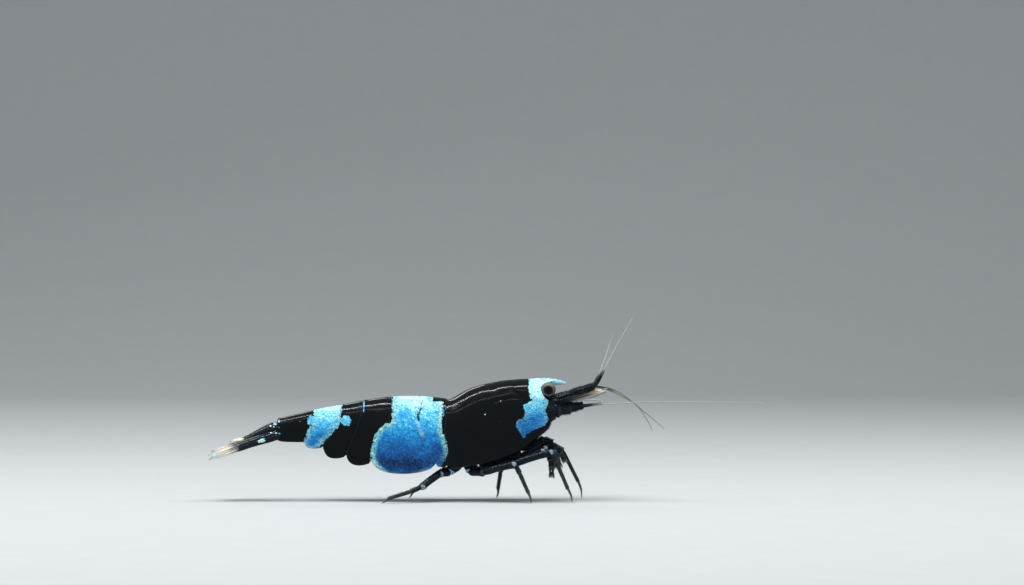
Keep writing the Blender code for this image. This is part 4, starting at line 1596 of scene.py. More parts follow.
@dataclass
class Legs:
    """Five pairs of legs: two with small brush-tipped pincers, and three to walk on."""

    finish: Material
    hair: Material
    foot_hair: Material
    # Where each leg leaves the body: x and z, from the front pair to the rear one
    roots: tuple = ((1.95, 3.42), (0.95, 3.1), (-0.15, 2.9), (-1.3, 2.8), (-2.4, 2.72))
    root_out: float = 0.52
    pincer_pairs: int = 2  # the pairs behind them walk
    # The route of each leg after its root, from the front pair to the rear one and the right leg of a
    # pair first: hip, knee base, knee, wrist or ankle, and fingertip or foot
    routes: tuple = (
        ((2.4, 0.66, 3.24), (3.3, 0.86, 3.66), (4.5, 0.95, 4.1), (4.9, 0.96, 3.2), (4.92, 0.96, 2.1)),
        ((2.4, 0.66, 3.24), (3.3, 0.86, 3.66), (4.6, 0.96, 4.3), (5.15, 1.0, 3.6), (5.3, 1.0, 2.7)),
        ((1.3, 0.86, 2.7), (2.6, 1.34, 3.24), (4.3, 1.56, 3.9), (5.2, 1.58, 3.75), (5.5, 1.58, 2.9)),
        ((1.3, 0.86, 2.7), (2.6, 1.34, 3.26), (4.2, 1.58, 4.12), (5.4, 1.62, 4.0), (5.9, 1.62, 3.1)),
        ((0.0, 0.86, 2.46), (2.0, 1.96, 2.94), (4.9, 2.2, 3.84), (5.6, 2.3, 2.5), (6.42, 2.4, 0.36)),
        ((0.0, 0.86, 2.46), (2.2, 2.0, 3.1), (5.0, 2.24, 4.3), (6.6, 2.34, 3.3), (7.25, 2.44, 0.36)),
        ((-1.35, 0.8, 2.28), (-0.3, 1.6, 2.28), (2.1, 2.68, 2.96), (2.8, 2.84, 1.7), (3.3, 2.95, 0.36)),
        ((-1.35, 0.8, 2.28), (-0.6, 1.7, 2.28), (1.0, 2.8, 2.7), (1.0, 3.05, 1.5), (0.7, 3.15, 0.36)),
        ((-2.86, 0.76, 2.26), (-3.6, 1.1, 2.2), (-5.0, 2.1, 1.2), (-6.6, 2.7, 0.56), (-7.95, 3.0, 0.3)),
        ((-2.8, 0.76, 2.26), (-3.4, 1.2, 2.24), (-4.4, 2.3, 1.5), (-5.4, 2.9, 0.8), (-6.1, 3.2, 0.36)),
    )
    finger: Profile = Profile((0.0, 0.11), (0.4, 0.105), (0.85, 0.075), (1.0, 0.05))
    hip_width: Profile = Profile((0.0, 0.62), (0.45, 0.56), (0.85, 0.36), (1.0, 0.3))
    hip_depth: Profile = Profile((0.0, 0.36), (0.85, 0.36), (1.0, 0.3))

    def build(self) -> list[Object]:
        """Make the ten legs and their hairs.

        Returns:
            The pieces.
        """
        coats = [Coat(f"leg_hairs_{number}", 12, 10 + number) for number in range(1, 6)]
        brush = Coat("pincer_brushes", 8, 19)
        legs = [(number, side) for number in range(1, 6) for side in Side]
        made = []
        for (number, side), route in zip(legs, self.routes):
            leg = (number, side, on_side(route, side), coats[number - 1])
            pinches = number <= self.pincer_pairs
            made.append(self._pincer_leg(*leg, brush) if pinches else self._walking_leg(*leg))
        made += [coat.finish(self.hair, "limb") for coat in coats]
        return made + [brush.finish(self.foot_hair, "limb")]

    def _hip(self, draft: Draft, number: int, side: Side, hip: Array, blue: float) -> None:
        """Add the thick first segment of a leg.

        Args:
            draft: the mesh it is added to.
            number: the leg's number from the front.
            side: its side.
            hip: where the segment ends.
            blue: how blue its end is.
        """
        x, z = self.roots[number - 1]
        start = np.array((x, self.root_out * side.value, z + 0.3))
        t = np.linspace(0.0, 1.0, 17)
        left = (1.0 - t) * np.linalg.norm(hip - start)
        radii = np.stack((self.hip_width(t), self.hip_depth(t)), axis=1)
        marks = {"joint": left, "joint_light": 0.12, "cool": 1.0, "spot": blue * ease(left, 0.17, 0.05)}
        draft.stem(start + (hip - start) * t[:, None], radii, 20, (1.0, 0.0, 0.0), cap=0.4, **marks)

    def _pincer_leg(self, number: int, side: Side, route: Array, coat: Coat, brush: Coat) -> Object:
        """Make a pincer leg: three arm segments, a cupped wrist, a palm and two fingers.

        Args:
            number: its number from the front.
            side: its side.
            route: its hip, knee base, knee, wrist and fingertip.
            coat: the coat of its hairs.
            brush: the coat of the fingers' long hairs.

        Returns:
            The piece.
        """
        draft = Draft(f"pincer_leg_{number}_{side.word}")
        hip, base, knee, wrist, end = route
        ahead = end - wrist
        palm = wrist + ahead * 0.46
        self._hip(draft, number, side, hip, 0.0)
        stems = [
            draw_segment(draft, hip, Joint(base, 0.3, 0.27)),
            draw_segment(draft, base, Joint(knee, 0.26, 0.26, spot=0.75)),
            draw_segment(draft, knee, Joint(knee + (wrist - knee) * 0.96, 0.17, 0.28), sides=16),
            draw_segment(draft, wrist, Joint(palm, 0.24, 0.22, clear=0.1), sides=16),
        ]
        t = np.linspace(0.0, 1.0, 13)
        apart = 0.09 * (1.0 - 0.25 * t) * (1.0 + 0.35 * np.sin(t * math.pi))
        fingers = []
        for sign in (1.0, -1.0):
            finger = palm - ahead * 0.03 + ahead * 0.56 * t[:, None]
            finger[:, 0] += sign * apart
            fingers.append(draft.stem(finger, self.finger(t), 12, cap=0.7, clear=0.15 + 0.4 * t))
        for stem in stems:
            coat.next_strip()
            coat.hairs(stem, 70, (0.06, 0.18), 0.007, lean=1.0)
        for finger in fingers:
            brush.next_strip()
            brush.hairs(finger, 190, (0.16, 0.42), 0.007, along=(0.72, 1.0), lean=2.4, droop=0.1)
        return draft.finish((self.finish,), "limb", (f"leg_{number}_{side.word}",))

    def _walking_leg(self, number: int, side: Side, route: Array, coat: Coat) -> Object:
        """Make a walking leg, which ends in a claw on the floor.

        Args:
            number: its number from the front.
            side: its side.
            route: its hip, knee base, knee, ankle and foot.
            coat: the coat of its hairs.

        Returns:
            The piece.
        """
        draft = Draft(f"walking_leg_{number}_{side.word}")
        hip, base, knee, ankle, foot = route
        self._hip(draft, number, side, hip, 0.9 if number > 3 else 0.3)
        shin = knee + (ankle - knee) * 0.5
        heel = ankle + (foot - ankle) * 0.66
        point = np.array((foot[0] + (foot[0] - ankle[0]) * 0.06, foot[1], 0.02))
        stems = [
            draw_segment(draft, hip, Joint(base, 0.32, 0.3, spot=0.8 if number == 5 else 0.0)),
            draw_segment(draft, base, Joint(knee, 0.29, 0.27, spot=0.8)),
            draw_segment(draft, knee, Joint(shin, 0.18, 0.2, clear=0.08)),
            draw_segment(draft, shin, Joint(heel, 0.17, 0.13, clear=0.3), before=0.08, bow=0.0),
        ]
        claw = draw_claw(draft, heel, point, 0.1)
        self._draw_spines(draft, heel, point)
        for stem in stems:
            coat.next_strip()
            coat.hairs(stem, 60, (0.05, 0.14), 0.006, lean=1.2)
        coat.next_strip()
        coat.hairs(claw, 34, (0.05, 0.12), 0.006, along=(0.0, 0.8), lean=1.4)
        coat.next_strip()
        coat.row(stems[3], 9, lambda _: 0.13, 0.014, (0.1, 0.97), math.pi * 1.5, 1.3)
        return draft.finish((self.finish,), "limb", (f"leg_{number}_{side.word}",))

    @staticmethod
    def _draw_spines(draft: Draft, heel: Array, point: Array) -> None:
        """Add the comb of small spines under a claw.

        Args:
            draft: the mesh it is added to.
            heel: where the claw starts.
            point: its point.
        """
        t = np.linspace(0.0, 1.0, 4)
        way = np.array((-0.07, 0.0, -0.07)) + (point - heel) * 0.06
        for step in range(1, 6):
            root = heel + (point - heel) * (0.1 + 0.14 * step)
            draft.stem(root + way * t[:, None], 0.018 * (1.05 - t), 6, cap=0.4, clear=0.7)


# ---- the head's limbs and eyes


@dataclass
class Eyes:
    """Two round eyes on short stalks."""

    finish: Material
    stalk_finish: Material
    centre: tuple[float, float, float] = (4.66, 1.06, 8.62)
    radius: float = 0.575
    rows: int = 48
    columns: int = 72
    stalk_root: tuple[float, float, float] = (3.9, 0.36, 8.3)
    looks: tuple[float, float, float] = (0.0, 1.0, -0.1)  # which way the dark middle faces
    stalk: Profile = Profile((0.0, 0.26), (0.35, 0.27), (0.7, 0.4), (0.9, 0.5), (1.0, 0.49))

    def build(self) -> list[Object]:
        """Make both eyes and both stalks."""
        return [part for side in Side for part in (self._ball(side), self._stalk(side))]

    def _ball(self, side: Side) -> Object:
        """Make one eye, a ball with its rows round the way that it looks.

        Args:
            side: its side.

        Returns:
            The piece.
        """
        polar = np.linspace(0.02, math.pi - 0.02, self.rows)[:, None, None]
        turn = (np.arange(self.columns) * math.tau / self.columns)[None, :, None]
        looks = unit_vectors(on_side(self.looks, side))
        across = unit_vectors(np.cross(looks, (0.0, 0.0, 1.0)))
        rise = np.cross(across, looks)
        ring = across * np.cos(turn) + rise * np.sin(turn)
        ways = looks * np.cos(polar) + ring * np.sin(polar)
        centre = on_side(self.centre, side)
        ball = centre + ways * self.radius * np.array((1.0, 1.0, 0.97))
        poles = centre + np.array((looks, -looks)) * self.radius
        faces = [tuple(reversed(face)) for face in tube_faces(self.rows, self.columns)]
        marks = {
            "off_axis": np.concatenate((np.repeat(polar.reshape(-1), self.columns), (0.0, math.pi))),
            "upper": np.concatenate((ways[..., 2].reshape(-1), (0.0, 0.0))),
        }
        draft = Draft(f"eye_ball_{side.word}")
        draft.add(np.concatenate((ball.reshape(-1, 3), poles)), faces, **marks)
        return draft.finish((self.finish,), "eye", (f"eye_{side.word}",))

    def _stalk(self, side: Side) -> Object:
        """Make the stalk, which widens into a cup round the back of the eye.

        Args:
            side: its side.

        Returns:
            The piece.
        """
        root, centre = on_side((self.stalk_root, self.centre), side)
        t = np.linspace(0.0, 1.0, 15)
        draft = Draft(f"eye_stalk_{side.word}")
        draft.stem(root + (centre - root) * (t * 0.8)[:, None], self.stalk(t), 28, cap=0.2)
        return draft.finish((self.stalk_finish,), "limb", (f"eyestalk_{side.word}",))


@dataclass(frozen=True)
class LimbPlan:
    """A limb of short segments on the head."""

    name: str
    node: str
    hairs: int  # how many on each segment
    root: tuple[float, float, float]
    segments: tuple  # where each segment ends, and its radii


@dataclass
class HeadLimbs:
    """Feeler stems, feeler scales and mouth limbs."""

    finish: Material
    scale_finish: Material
    hair: Material
    pale_hair: Material
    upper: LimbPlan = LimbPlan(
        "feeler_stem_upper", "antennule", 900, (4.7, 0.4, 7.66),
        (((6.22, 0.46, 8.1), 0.32, 0.31), ((7.32, 0.5, 8.5), 0.3, 0.3), ((8.14, 0.54, 8.8), 0.25, 0.22)),
    )
    lower: LimbPlan = LimbPlan(
        "feeler_stem_lower", "antenna", 600, (4.55, 0.9, 6.98),
        (((5.55, 1.0, 7.06), 0.62, 0.52), ((6.35, 1.02, 7.18), 0.46, 0.4), ((7.3, 1.05, 7.34), 0.36, 0.22)),
    )
    mouth: LimbPlan = LimbPlan(
        "mouth_limb", "maxilliped", 700, (2.5, 0.4, 4.15),
        (
            ((3.3, 0.36, 4.1), 0.26, 0.24), ((4.3, 0.36, 4.76), 0.21, 0.22),
            ((4.95, 0.36, 4.5), 0.17, 0.18), ((5.05, 0.36, 3.85), 0.15, 0.07),
        ),
    )
    # The broad base that both feelers of a side share: place and radius
    base: tuple = (
        (4.5, 0.62, 7.42, 0.6), (5.0, 0.76, 7.46, 0.56), (5.6, 0.88, 7.52, 0.38), (6.1, 0.96, 7.62, 0.22),
        (6.45, 1.0, 7.7, 0.1),
    )
    # The long spine beside the base of the upper feeler's stem
    spine: tuple = ((4.9, 0.74, 7.86), (5.5, 0.84, 8.02), (6.1, 0.88, 8.22), (6.5, 0.86, 8.36))
    # The feeler scale: place and width
    scale_line: tuple = (
        (5.2, 1.16, 7.66, 0.3), (5.7, 1.3, 7.72, 0.6), (6.2, 1.4, 7.82, 0.82), (7.2, 1.46, 8.02, 0.98),
        (8.0, 1.4, 8.22, 0.92), (8.6, 1.3, 8.38, 0.66), (9.0, 1.2, 8.5, 0.22),
    )
    scale_roll: float = -29.0  # degrees that its outer edge hangs down
    # Flat mouth limbs folded over the jaws: place, half width and half thickness
    mouth_leaves: tuple = (
        (
            (3.0, 0.95, 4.75, 0.2, 0.14), (3.7, 1.02, 5.1, 0.26, 0.13), (4.3, 0.96, 5.5, 0.2, 0.1),
            (4.66, 0.86, 5.85, 0.08, 0.05),
        ),
        (
            (3.3, 0.42, 4.95, 0.28, 0.2), (4.0, 0.46, 5.25, 0.34, 0.2), (4.52, 0.42, 5.65, 0.26, 0.15),
            (4.74, 0.34, 5.95, 0.12, 0.08),
        ),
        ((4.0, 0.32, 5.95, 0.3, 0.3), (4.5, 0.36, 6.25, 0.34, 0.3), (4.92, 0.3, 6.4, 0.24, 0.22)),
    )

    def build(self) -> list[Object]:
        """Make the head's limbs on both sides, with their hairs.

        Returns:
            The pieces.
        """
        fuzz = Coat("head_fuzz", 14, 21)
        mouth_fuzz = Coat("mouth_fuzz", 14, 23)
        fringe = Coat("scale_fringe", 4, 22)
        made = []
        for side in Side:
            made += [self._limb(limb, side, fuzz) for limb in (self.upper, self.lower)]
            made += [self._limb(self.mouth, side, mouth_fuzz), self._scale(side, fringe)]
        made += [coat.finish(self.hair, "limb") for coat in (fuzz, mouth_fuzz)]
        return made + [fringe.finish(self.pale_hair, "feeler_scale")]

    def _limb(self, limb: LimbPlan, side: Side, fuzz: Coat) -> Object:
        """Make a limb of several short segments, covered with fuzz.

        Args:
            limb: which limb it is.
            side: its side.
            fuzz: the coat of its hairs.

        Returns:
            The piece.
        """
        draft = Draft(f"{limb.name}_{side.word}")
        start = on_side(limb.root, side)
        for end, wide, narrow in limb.segments:
            joint = Joint(on_side(end, side), wide, narrow)
            stem = draw_segment(draft, start, joint, sides=20, bow=0.03, joint_light=0.04)
            fuzz.next_strip()
            fuzz.hairs(stem, limb.hairs, (0.05, 0.18), 0.008, along=(0.02, 1.0))
            start = joint.end
        if limb is self.upper:
            route = smooth_route(on_side(self.spine, side), 6)
            draft.stem(route, np.linspace(0.11, 0.015, len(route)), 10, clear=0.1)
        elif limb is self.lower:
            table = smooth_route(on_side(self.base, side), 5)
            bulk = draft.stem(table[:, :3], table[:, 3], 24, cap=0.4)
            fuzz.next_strip()
            fuzz.hairs(bulk, limb.hairs, (0.06, 0.2), 0.009, along=(0.2, 1.0), lean=0.9)
        else:
            for leaf in self.mouth_leaves:
                table = smooth_route(on_side(leaf, side), 6)
                flat = draft.stem(table[:, :3], table[:, 3:], 20, ACROSS)
                fuzz.next_strip()
                fuzz.hairs(flat, 260, (0.05, 0.2), 0.008, along=(0.35, 1.0), lean=1.2)
        return draft.finish((self.finish,), "limb", (f"{limb.node}_{side.word}",))

    def _scale(self, side: Side, fringe: Coat) -> Object:
        """Make one feeler scale: a thin arched leaf with a thick outer rib and a spine.

        Args:
            side: its side.
            fringe: the coat of its hairs.

        Returns:
            The piece.
        """
        table = smooth_route(on_side(self.scale_line, side), 9)
        roll = math.radians(self.scale_roll)
        across = np.array((0.0, side.value * math.cos(roll), -math.sin(roll)))
        t = np.linspace(0.0, 1.0, len(table))
        line, widths = table[:, :3], table[:, 3] / 2
        radii = np.stack((widths, np.interp(t, (0.0, 0.3, 1.0), (0.12, 0.08, 0.03))), axis=1)
        draft = Draft(f"feeler_scale_{side.word}")
        stem = draft.stem(line, radii, 30, across, arch=0.1 * widths, cap=0.3, along=t)
        keep = slice(4, -12)
        rib = line + across * (widths * 0.86)[:, None]
        draft.stem(rib[keep], np.linspace(0.085, 0.03, len(t))[keep], 10, cap=1.5, along=t[keep] * 0.6)
        fringe.next_strip()
        fringe.row(
            stem, 190, lambda s: 0.1 + 0.42 * ease(s, 0.3, 0.75), 0.007, (0.28, 0.995), math.pi, 1.1, 0.15
        )
        fringe.next_strip()
        fringe.row(stem, 40, lambda _: 0.3, 0.007, (0.86, 1.0), 0.0, 1.6, 0.1)
        return draft.finish((self.scale_finish,), "feeler_scale", (f"antenna_scale_{side.word}",))


class Whip(Enum):
    """A kind of whip-like feeler: its node, its piece, the length of its rings and its radii."""

    OUTER = (
        "antennule_outer", "upper_outer_whip", 0.1,
        ((0.0, 0.16), (0.12, 0.165), (0.18, 0.135), (0.27, 0.105), (0.6, 0.062), (1.0, 0.02)),
    )
    INNER = (
        "antennule_inner", "upper_inner_whip", 0.11,
        ((0.0, 0.1), (0.2, 0.075), (0.6, 0.05), (1.0, 0.02)),
    )
    LONG = (
        "antenna_flagellum", "long_whip", 0.16,
        ((0.0, 0.11), (0.05, 0.088), (0.08, 0.058), (0.4, 0.045), (1.0, 0.02)),
    )


@dataclass
class Feelers:
    """The whips of both pairs of feelers."""

    upper_finish: Material
    inner_finish: Material
    long_finish: Material
    hair: Material
    # Each whip's kind, side and route
    whips: tuple = (
        (
            Whip.OUTER, Side.RIGHT, (8.1, 0.56, 8.84), (8.38, 0.64, 9.1), (8.75, 0.74, 9.75),
            (9.15, 0.84, 10.5), (10.15, 1.06, 12.4), (11.12, 1.3, 14.1),
        ),
        (
            Whip.OUTER, Side.LEFT, (8.1, 0.56, 8.84), (8.36, 0.66, 9.14), (8.7, 0.78, 9.95),
            (9.12, 0.94, 11.1), (9.65, 1.1, 12.75),
        ),
        (
            Whip.INNER, Side.RIGHT, (8.1, 0.42, 8.78), (8.5, 0.42, 8.8), (9.5, 0.5, 8.62), (10.5, 0.6, 8.14),
            (12.27, 0.86, 6.7), (13.55, 1.1, 5.6),
        ),
        (
            Whip.INNER, Side.LEFT, (8.1, 0.42, 8.76), (8.5, 0.42, 8.78), (9.5, 0.5, 8.48), (11.3, 0.7, 7.5),
            (12.2, 0.84, 6.4), (12.75, 0.95, 5.35),
        ),
        (
            Whip.LONG, Side.RIGHT, (7.15, 1.05, 7.28), (8.1, 1.22, 7.42), (9.1, 1.45, 7.5),
            (12.38, 2.6, 7.71), (16.75, 4.05, 7.76), (20.9, 5.3, 7.75),
        ),
        (
            Whip.LONG, Side.LEFT, (7.15, 1.05, 7.28), (7.7, 1.18, 7.36), (8.3, 1.5, 7.42), (8.95, 2.6, 7.55),
            (8.4, 3.9, 7.62), (6.3, 4.9, 7.55), (3.2, 5.4, 7.3), (-0.4, 5.6, 6.9), (-3.9, 5.6, 6.35),
        ),
    )

    def build(self) -> list[Object]:
        """Make the whips and the fine hairs along them."""
        return [part for kind, side, *route in self.whips for part in self._whip(kind, side, route)]

    def _whip(self, kind: Whip, side: Side, joints: Sequence) -> list[Object]:
        """Make one whip of many short rings and its hairs; a long one is two lengths end to end.

        Args:
            kind: what kind it is.
            side: its side.
            joints: places that it runs through, given for the left side.

        Returns:
            The pieces.
        """
        node, name, ring, radius = kind.value
        route = smooth_route(on_side(joints, side), 60)
        lengths = np.concatenate(((0.0,), np.cumsum(np.linalg.norm(np.diff(route, axis=0), axis=1))))
        count = int(lengths[-1] / ring * 6)
        spots = np.linspace(0.0, lengths[-1], count)
        route = np.stack([np.interp(spots, lengths, axis) for axis in route.T], axis=1)
        t = spots / lengths[-1]
        wave = np.cos(spots / ring * math.tau)
        radii = Profile(*radius)(t) * (1.0 - 0.09 * ease(wave, 0.3, 1.0))
        band = ease(wave, 0.5, 0.95)
        finishes = (self.upper_finish, self.inner_finish, self.long_finish)
        finish = dict(zip(Whip, finishes))[kind]
        made = []
        cuts = (0, count // 2, count) if kind is Whip.LONG else (0, count)
        for part, (start, end) in enumerate(zip(cuts, cuts[1:]), start=1):
            stretch = slice(max(start - 1, 0), end)
            draft = Draft(f"{name}_{side.word}" + (f"_{part}" if kind is Whip.LONG else ""))
            marks = {"along": t[stretch], "band": band[stretch]}
            stem = draft.stem(route[stretch], radii[stretch], 10, cap=0.8, **marks)
            coat = Coat(f"{draft.name}_hairs", 1, 31)
            coat.next_strip()
            coat.hairs(stem, 150, (0.05, 0.12), 0.004, lean=1.0)
            made.append(coat.finish(self.hair, "feeler"))
            made.append(draft.finish((finish,), "feeler", (f"{node}_{side.word}",) if part == 1 else ()))
        return made


# ---- the tail fan and belly limbs


@dataclass(frozen=True)
class Blade:
    """One blade of the tail fan."""

    name: str
    node: str
    line: tuple  # x, distance out, height, width and thickness along its middle
    tone: float
    pale_from: float
    paired: bool = True
    arch: float = 0.24  # how far its edges bend down, as a part of half its width
    roll: float = 0.0  # degrees that its outer edge hangs down
    cool: float = 0.0  # how blue its very tip is
    ribs: tuple = (-0.45, 0.0, 0.5)  # where they lie across it, from -1 to 1
    spines: tuple = ((0.86, 0.2),)  # place along it, and angle round it
    spots: tuple = ()  # blue-white spots: x, half length, angle round the blade and half its turn


@dataclass
class TailFan:
    """The middle blade and two blades on each side, fringed with hairs."""

    finish: Material
    hair: Material
    sides: int = 34
    middle: Blade = Blade(
        "fan_middle", "telson",
        (
            (-15.9, 0.0, 5.78, 1.16, 0.7), (-16.5, 0.0, 5.73, 1.2, 0.68), (-17.1, 0.0, 5.5, 1.1, 0.6),
            (-17.9, 0.0, 5.12, 0.86, 0.48), (-18.6, 0.0, 4.84, 0.66, 0.34), (-19.3, 0.0, 4.72, 0.52, 0.26),
            (-19.75, 0.0, 4.6, 0.36, 0.16),
        ),
        tone=3.0, pale_from=0.68, paired=False, arch=0.4, ribs=(-0.5, 0.5),
        spines=((0.45, 1.1), (0.62, 1.1), (0.78, 1.1), (0.92, 0.9)),
        spots=(
            (-16.3, 0.15, math.pi / 2 - 0.6, 0.24), (-16.62, 0.07, math.pi / 2 - 0.8, 0.18),
            (-16.4, 0.06, math.pi / 2 - 1.05, 0.16),
        ),
    )
    inner: Blade = Blade(
        "fan_inner", "uropod_inner",
        (
            (-15.9, 0.4, 5.24, 0.7, 0.7), (-17.2, 0.46, 5.0, 0.74, 0.36), (-18.4, 0.54, 4.62, 0.82, 0.2),
            (-19.6, 0.6, 4.26, 0.86, 0.14), (-20.5, 0.62, 3.98, 0.66, 0.1), (-20.95, 0.6, 3.84, 0.32, 0.07),
        ),
        tone=7.0, pale_from=0.58, roll=36.0,
    )
    outer: Blade = Blade(
        "fan_outer", "uropod_outer",
        (
            (-15.8, 0.4, 5.22, 0.5, 0.5), (-16.2, 0.62, 5.1, 0.7, 0.56), (-16.7, 0.86, 4.98, 0.84, 0.5),
            (-17.4, 1.04, 4.8, 0.86, 0.36), (-18.4, 1.26, 4.5, 0.86, 0.22), (-19.6, 1.42, 4.08, 0.86, 0.15),
            (-20.6, 1.5, 3.74, 0.62, 0.1), (-21.1, 1.5, 3.56, 0.3, 0.07),
        ),
        tone=11.0, pale_from=0.66, roll=52.0, cool=1.0,
        spots=((-17.35, 0.34, 0.95, 0.42), (-16.55, 0.08, 2.1, 0.3), (-16.25, 0.11, 1.6, 0.2)),
    )

    def build(self) -> list[Object]:
        """Make the five blades and their fringe.

        Returns:
            The pieces.
        """
        fringe = Coat("fan_fringe", 14, 41)
        made = [self._blade(self.middle, Side.LEFT, fringe)]
        made += [self._blade(blade, side, fringe) for side in Side for blade in (self.inner, self.outer)]
        return made + [fringe.finish(self.hair, "tail_fan")]

    @staticmethod
    def _turned(angle: float, side: Side) -> float:
        """Turn an angle from the outer edge into one round the blade of a side."""
        return angle if side is Side.RIGHT else math.pi - angle

    def _blade(self, blade: Blade, side: Side, fringe: Coat) -> Object:
        """Make one blade with raised ribs, and set its fringe.

        Args:
            blade: its sizes.
            side: its side.
            fringe: the coat of its hairs.

        Returns:
            The piece.
        """
        table = smooth_route(on_side(blade.line, side), 9)
        t = np.linspace(0.0, 1.0, len(table))
        turn = np.arange(self.sides) * math.tau / self.sides
        spot = np.zeros((len(t), self.sides))
        for place, half_length, angle, half_turn in blade.spots:
            for one in (side,) if blade.paired else Side:
                round_it = bump(turn, self._turned(angle, one), half_turn)
                spot = np.maximum(spot, bump(table[:, 0], place, half_length)[:, None] * round_it)
        roll = math.radians(blade.roll)
        across = (0.0, -math.cos(roll), side.value * math.sin(roll))
        radii, arch = table[:, 3:] / 2, blade.arch * table[:, 3] / 2
        marks = {"along": t + 0.56 - blade.pale_from, "end": t, "spot": spot, "blade": blade.tone}
        word = f"_{side.word}" if blade.paired else ""
        draft = Draft(blade.name + word)
        stem = draft.stem(table[:, :3], radii, self.sides, across, arch, 0.3, cool=blade.cool, **marks)
        for place in blade.ribs:
            self._draw_rib(draft, stem, -side.value * place, blade, dict(marks))
        self._draw_spines(draft, stem, blade)
        if not blade.paired:
            fringe.next_strip()
            fringe.hairs(stem, 46, (0.14, 0.3), 0.01, (0.98, 1.0), lean=3.5)
            return draft.finish((self.finish,), "tail_fan", (blade.node,))
        for edge, start in ((0.0, 0.7), (math.pi, 0.6)):
            angle = self._turned(edge, side)
            fringe.next_strip()
            fringe.row(
                stem, 150, lambda s: 0.03 + 0.26 * ease(s, 0.6, 0.92), 0.007, (start, 1.0), angle, 2.2, 0.2
            )
            fringe.hairs(stem, 70, (0.16, 0.34), 0.008, (0.985, 1.0), (angle - 0.7, angle + 0.7), 3.0, 0.1)
        return draft.finish((self.finish,), "tail_fan", (blade.node + word,))

    @staticmethod
    def _draw_rib(draft: Draft, stem: Stem, place: float, blade: Blade, marks: dict) -> None:
        """Add a thin raised rib along a blade.

        Args:
            draft: the mesh it is added to.
            stem: the blade's own body.
            place: where it lies across the blade, from -1 to 1.
            blade: the blade's sizes.
            marks: the blade's marks.
        """
        keep = slice(5, -6)
        lift = stem.radii[:, 1] * math.sqrt(1.0 - place**2) - stem.arch * place**2
        route = stem.route + stem.side * (stem.radii[:, :1] * place) + stem.rise * lift[:, None]
        column = round(math.acos(place) / math.tau * marks["spot"].shape[1])
        marks.update(blade=blade.tone + place, spot=marks["spot"][keep, column])
        marks.update(along=marks["along"][keep], end=marks["end"][keep])
        draft.stem(route[keep], np.linspace(0.05, 0.016, len(route))[keep], 8, cap=1.0, **marks)

    @staticmethod
    def _draw_spines(draft: Draft, stem: Stem, blade: Blade) -> None:
        """Add small spines, one on each side of the blade's middle at each place.

        Args:
            draft: the mesh they are added to.
            stem: the blade's own body.
            blade: the blade's sizes.
        """
        t = np.linspace(0.0, 1.0, 5)
        for along, angle in blade.spines:
            marks = {"along": along + 0.62 - blade.pale_from, "end": 0.5, "blade": blade.tone}
            places, out, ahead = stem.skin(np.full(2, along), np.array((angle, math.pi - angle)))
            for root, way in zip(places, unit_vectors(out * 0.35 + ahead)):
                draft.stem(root + way * 0.2 * t[:, None], 0.024 * (1.04 - t), 7, cap=0.4, **marks)


@dataclass
class BellyLimbs:
    """Five pairs of small fringed paddles under the tail."""

    finish: Material
    hair: Material
    # x and height of the root, distance out, width and length
    paddles: tuple = (
        (-4.0, 3.75, 0.5, 0.62, 1.05), (-6.2, 3.75, 0.5, 0.64, 1.3), (-8.85, 4.0, 0.5, 0.6, 1.05),
        (-10.95, 4.4, 0.36, 0.44, 0.95), (-12.95, 4.95, 0.34, 0.4, 0.8),
    )
    # The two leaves of a paddle: how far each leans ahead and out, and its size
    leaves: tuple = ((0.35, 0.1, 1.0), (-0.12, -0.08, 0.86))
    outline: Profile = Profile((0.0, 0.3), (0.25, 0.72), (0.55, 1.0), (0.85, 0.72), (1.0, 0.3))

    def build(self) -> list[Object]:
        """Make the paddles and their fringe.

        Returns:
            The pieces.
        """
        fringe = Coat("paddle_fringe", 44, 51)
        made = [self._paddle(number, side, fringe) for number in range(1, 6) for side in Side]
        return made + [fringe.finish(self.hair, "limb")]

    def _paddle(self, number: int, side: Side, fringe: Coat) -> Object:
        """Make one paddle: a short stalk with two leaves.

        Args:
            number: its number from the front.
            side: its side.
            fringe: the coat of its hairs.

        Returns:
            The piece.
        """
        x, z, out, width, length = self.paddles[number - 1]
        root = on_side((x, out, z), side)
        stop = root + np.array((0.42, 0.0, -0.9)) * length * 0.4
        draft = Draft(f"belly_paddle_{number}_{side.word}")
        draw_segment(draft, root, Joint(stop, width * 0.32, width * 0.34), sides=16, bow=0.0)
        t = np.linspace(0.0, 1.0, 17)
        half = self.outline(t) * width * 0.42
        radii = np.stack((half, np.full(17, 0.05)), axis=1)
        for lean, spread, size in self.leaves:
            way = unit_vectors(np.array((0.45 + lean, 0.0, -0.9)))
            route = stop + way * (t * length * 0.66 * size)[:, None]
            route[:, 1] += side.value * spread * t
            stem = draft.stem(route, radii, 22, (0.0, side.value, 0.0), arch=0.15 * half, clear=0.25 * t)
            for angle in (0.0, math.pi):
                fringe.next_strip()
                fringe.row(stem, 44, lambda s: 0.16 + 0.12 * s, 0.007, (0.15, 1.0), angle, 1.0, 0.15)
        return draft.finish((self.finish,), "limb", (f"swimmeret_{number}_{side.word}",))


# ---- studio


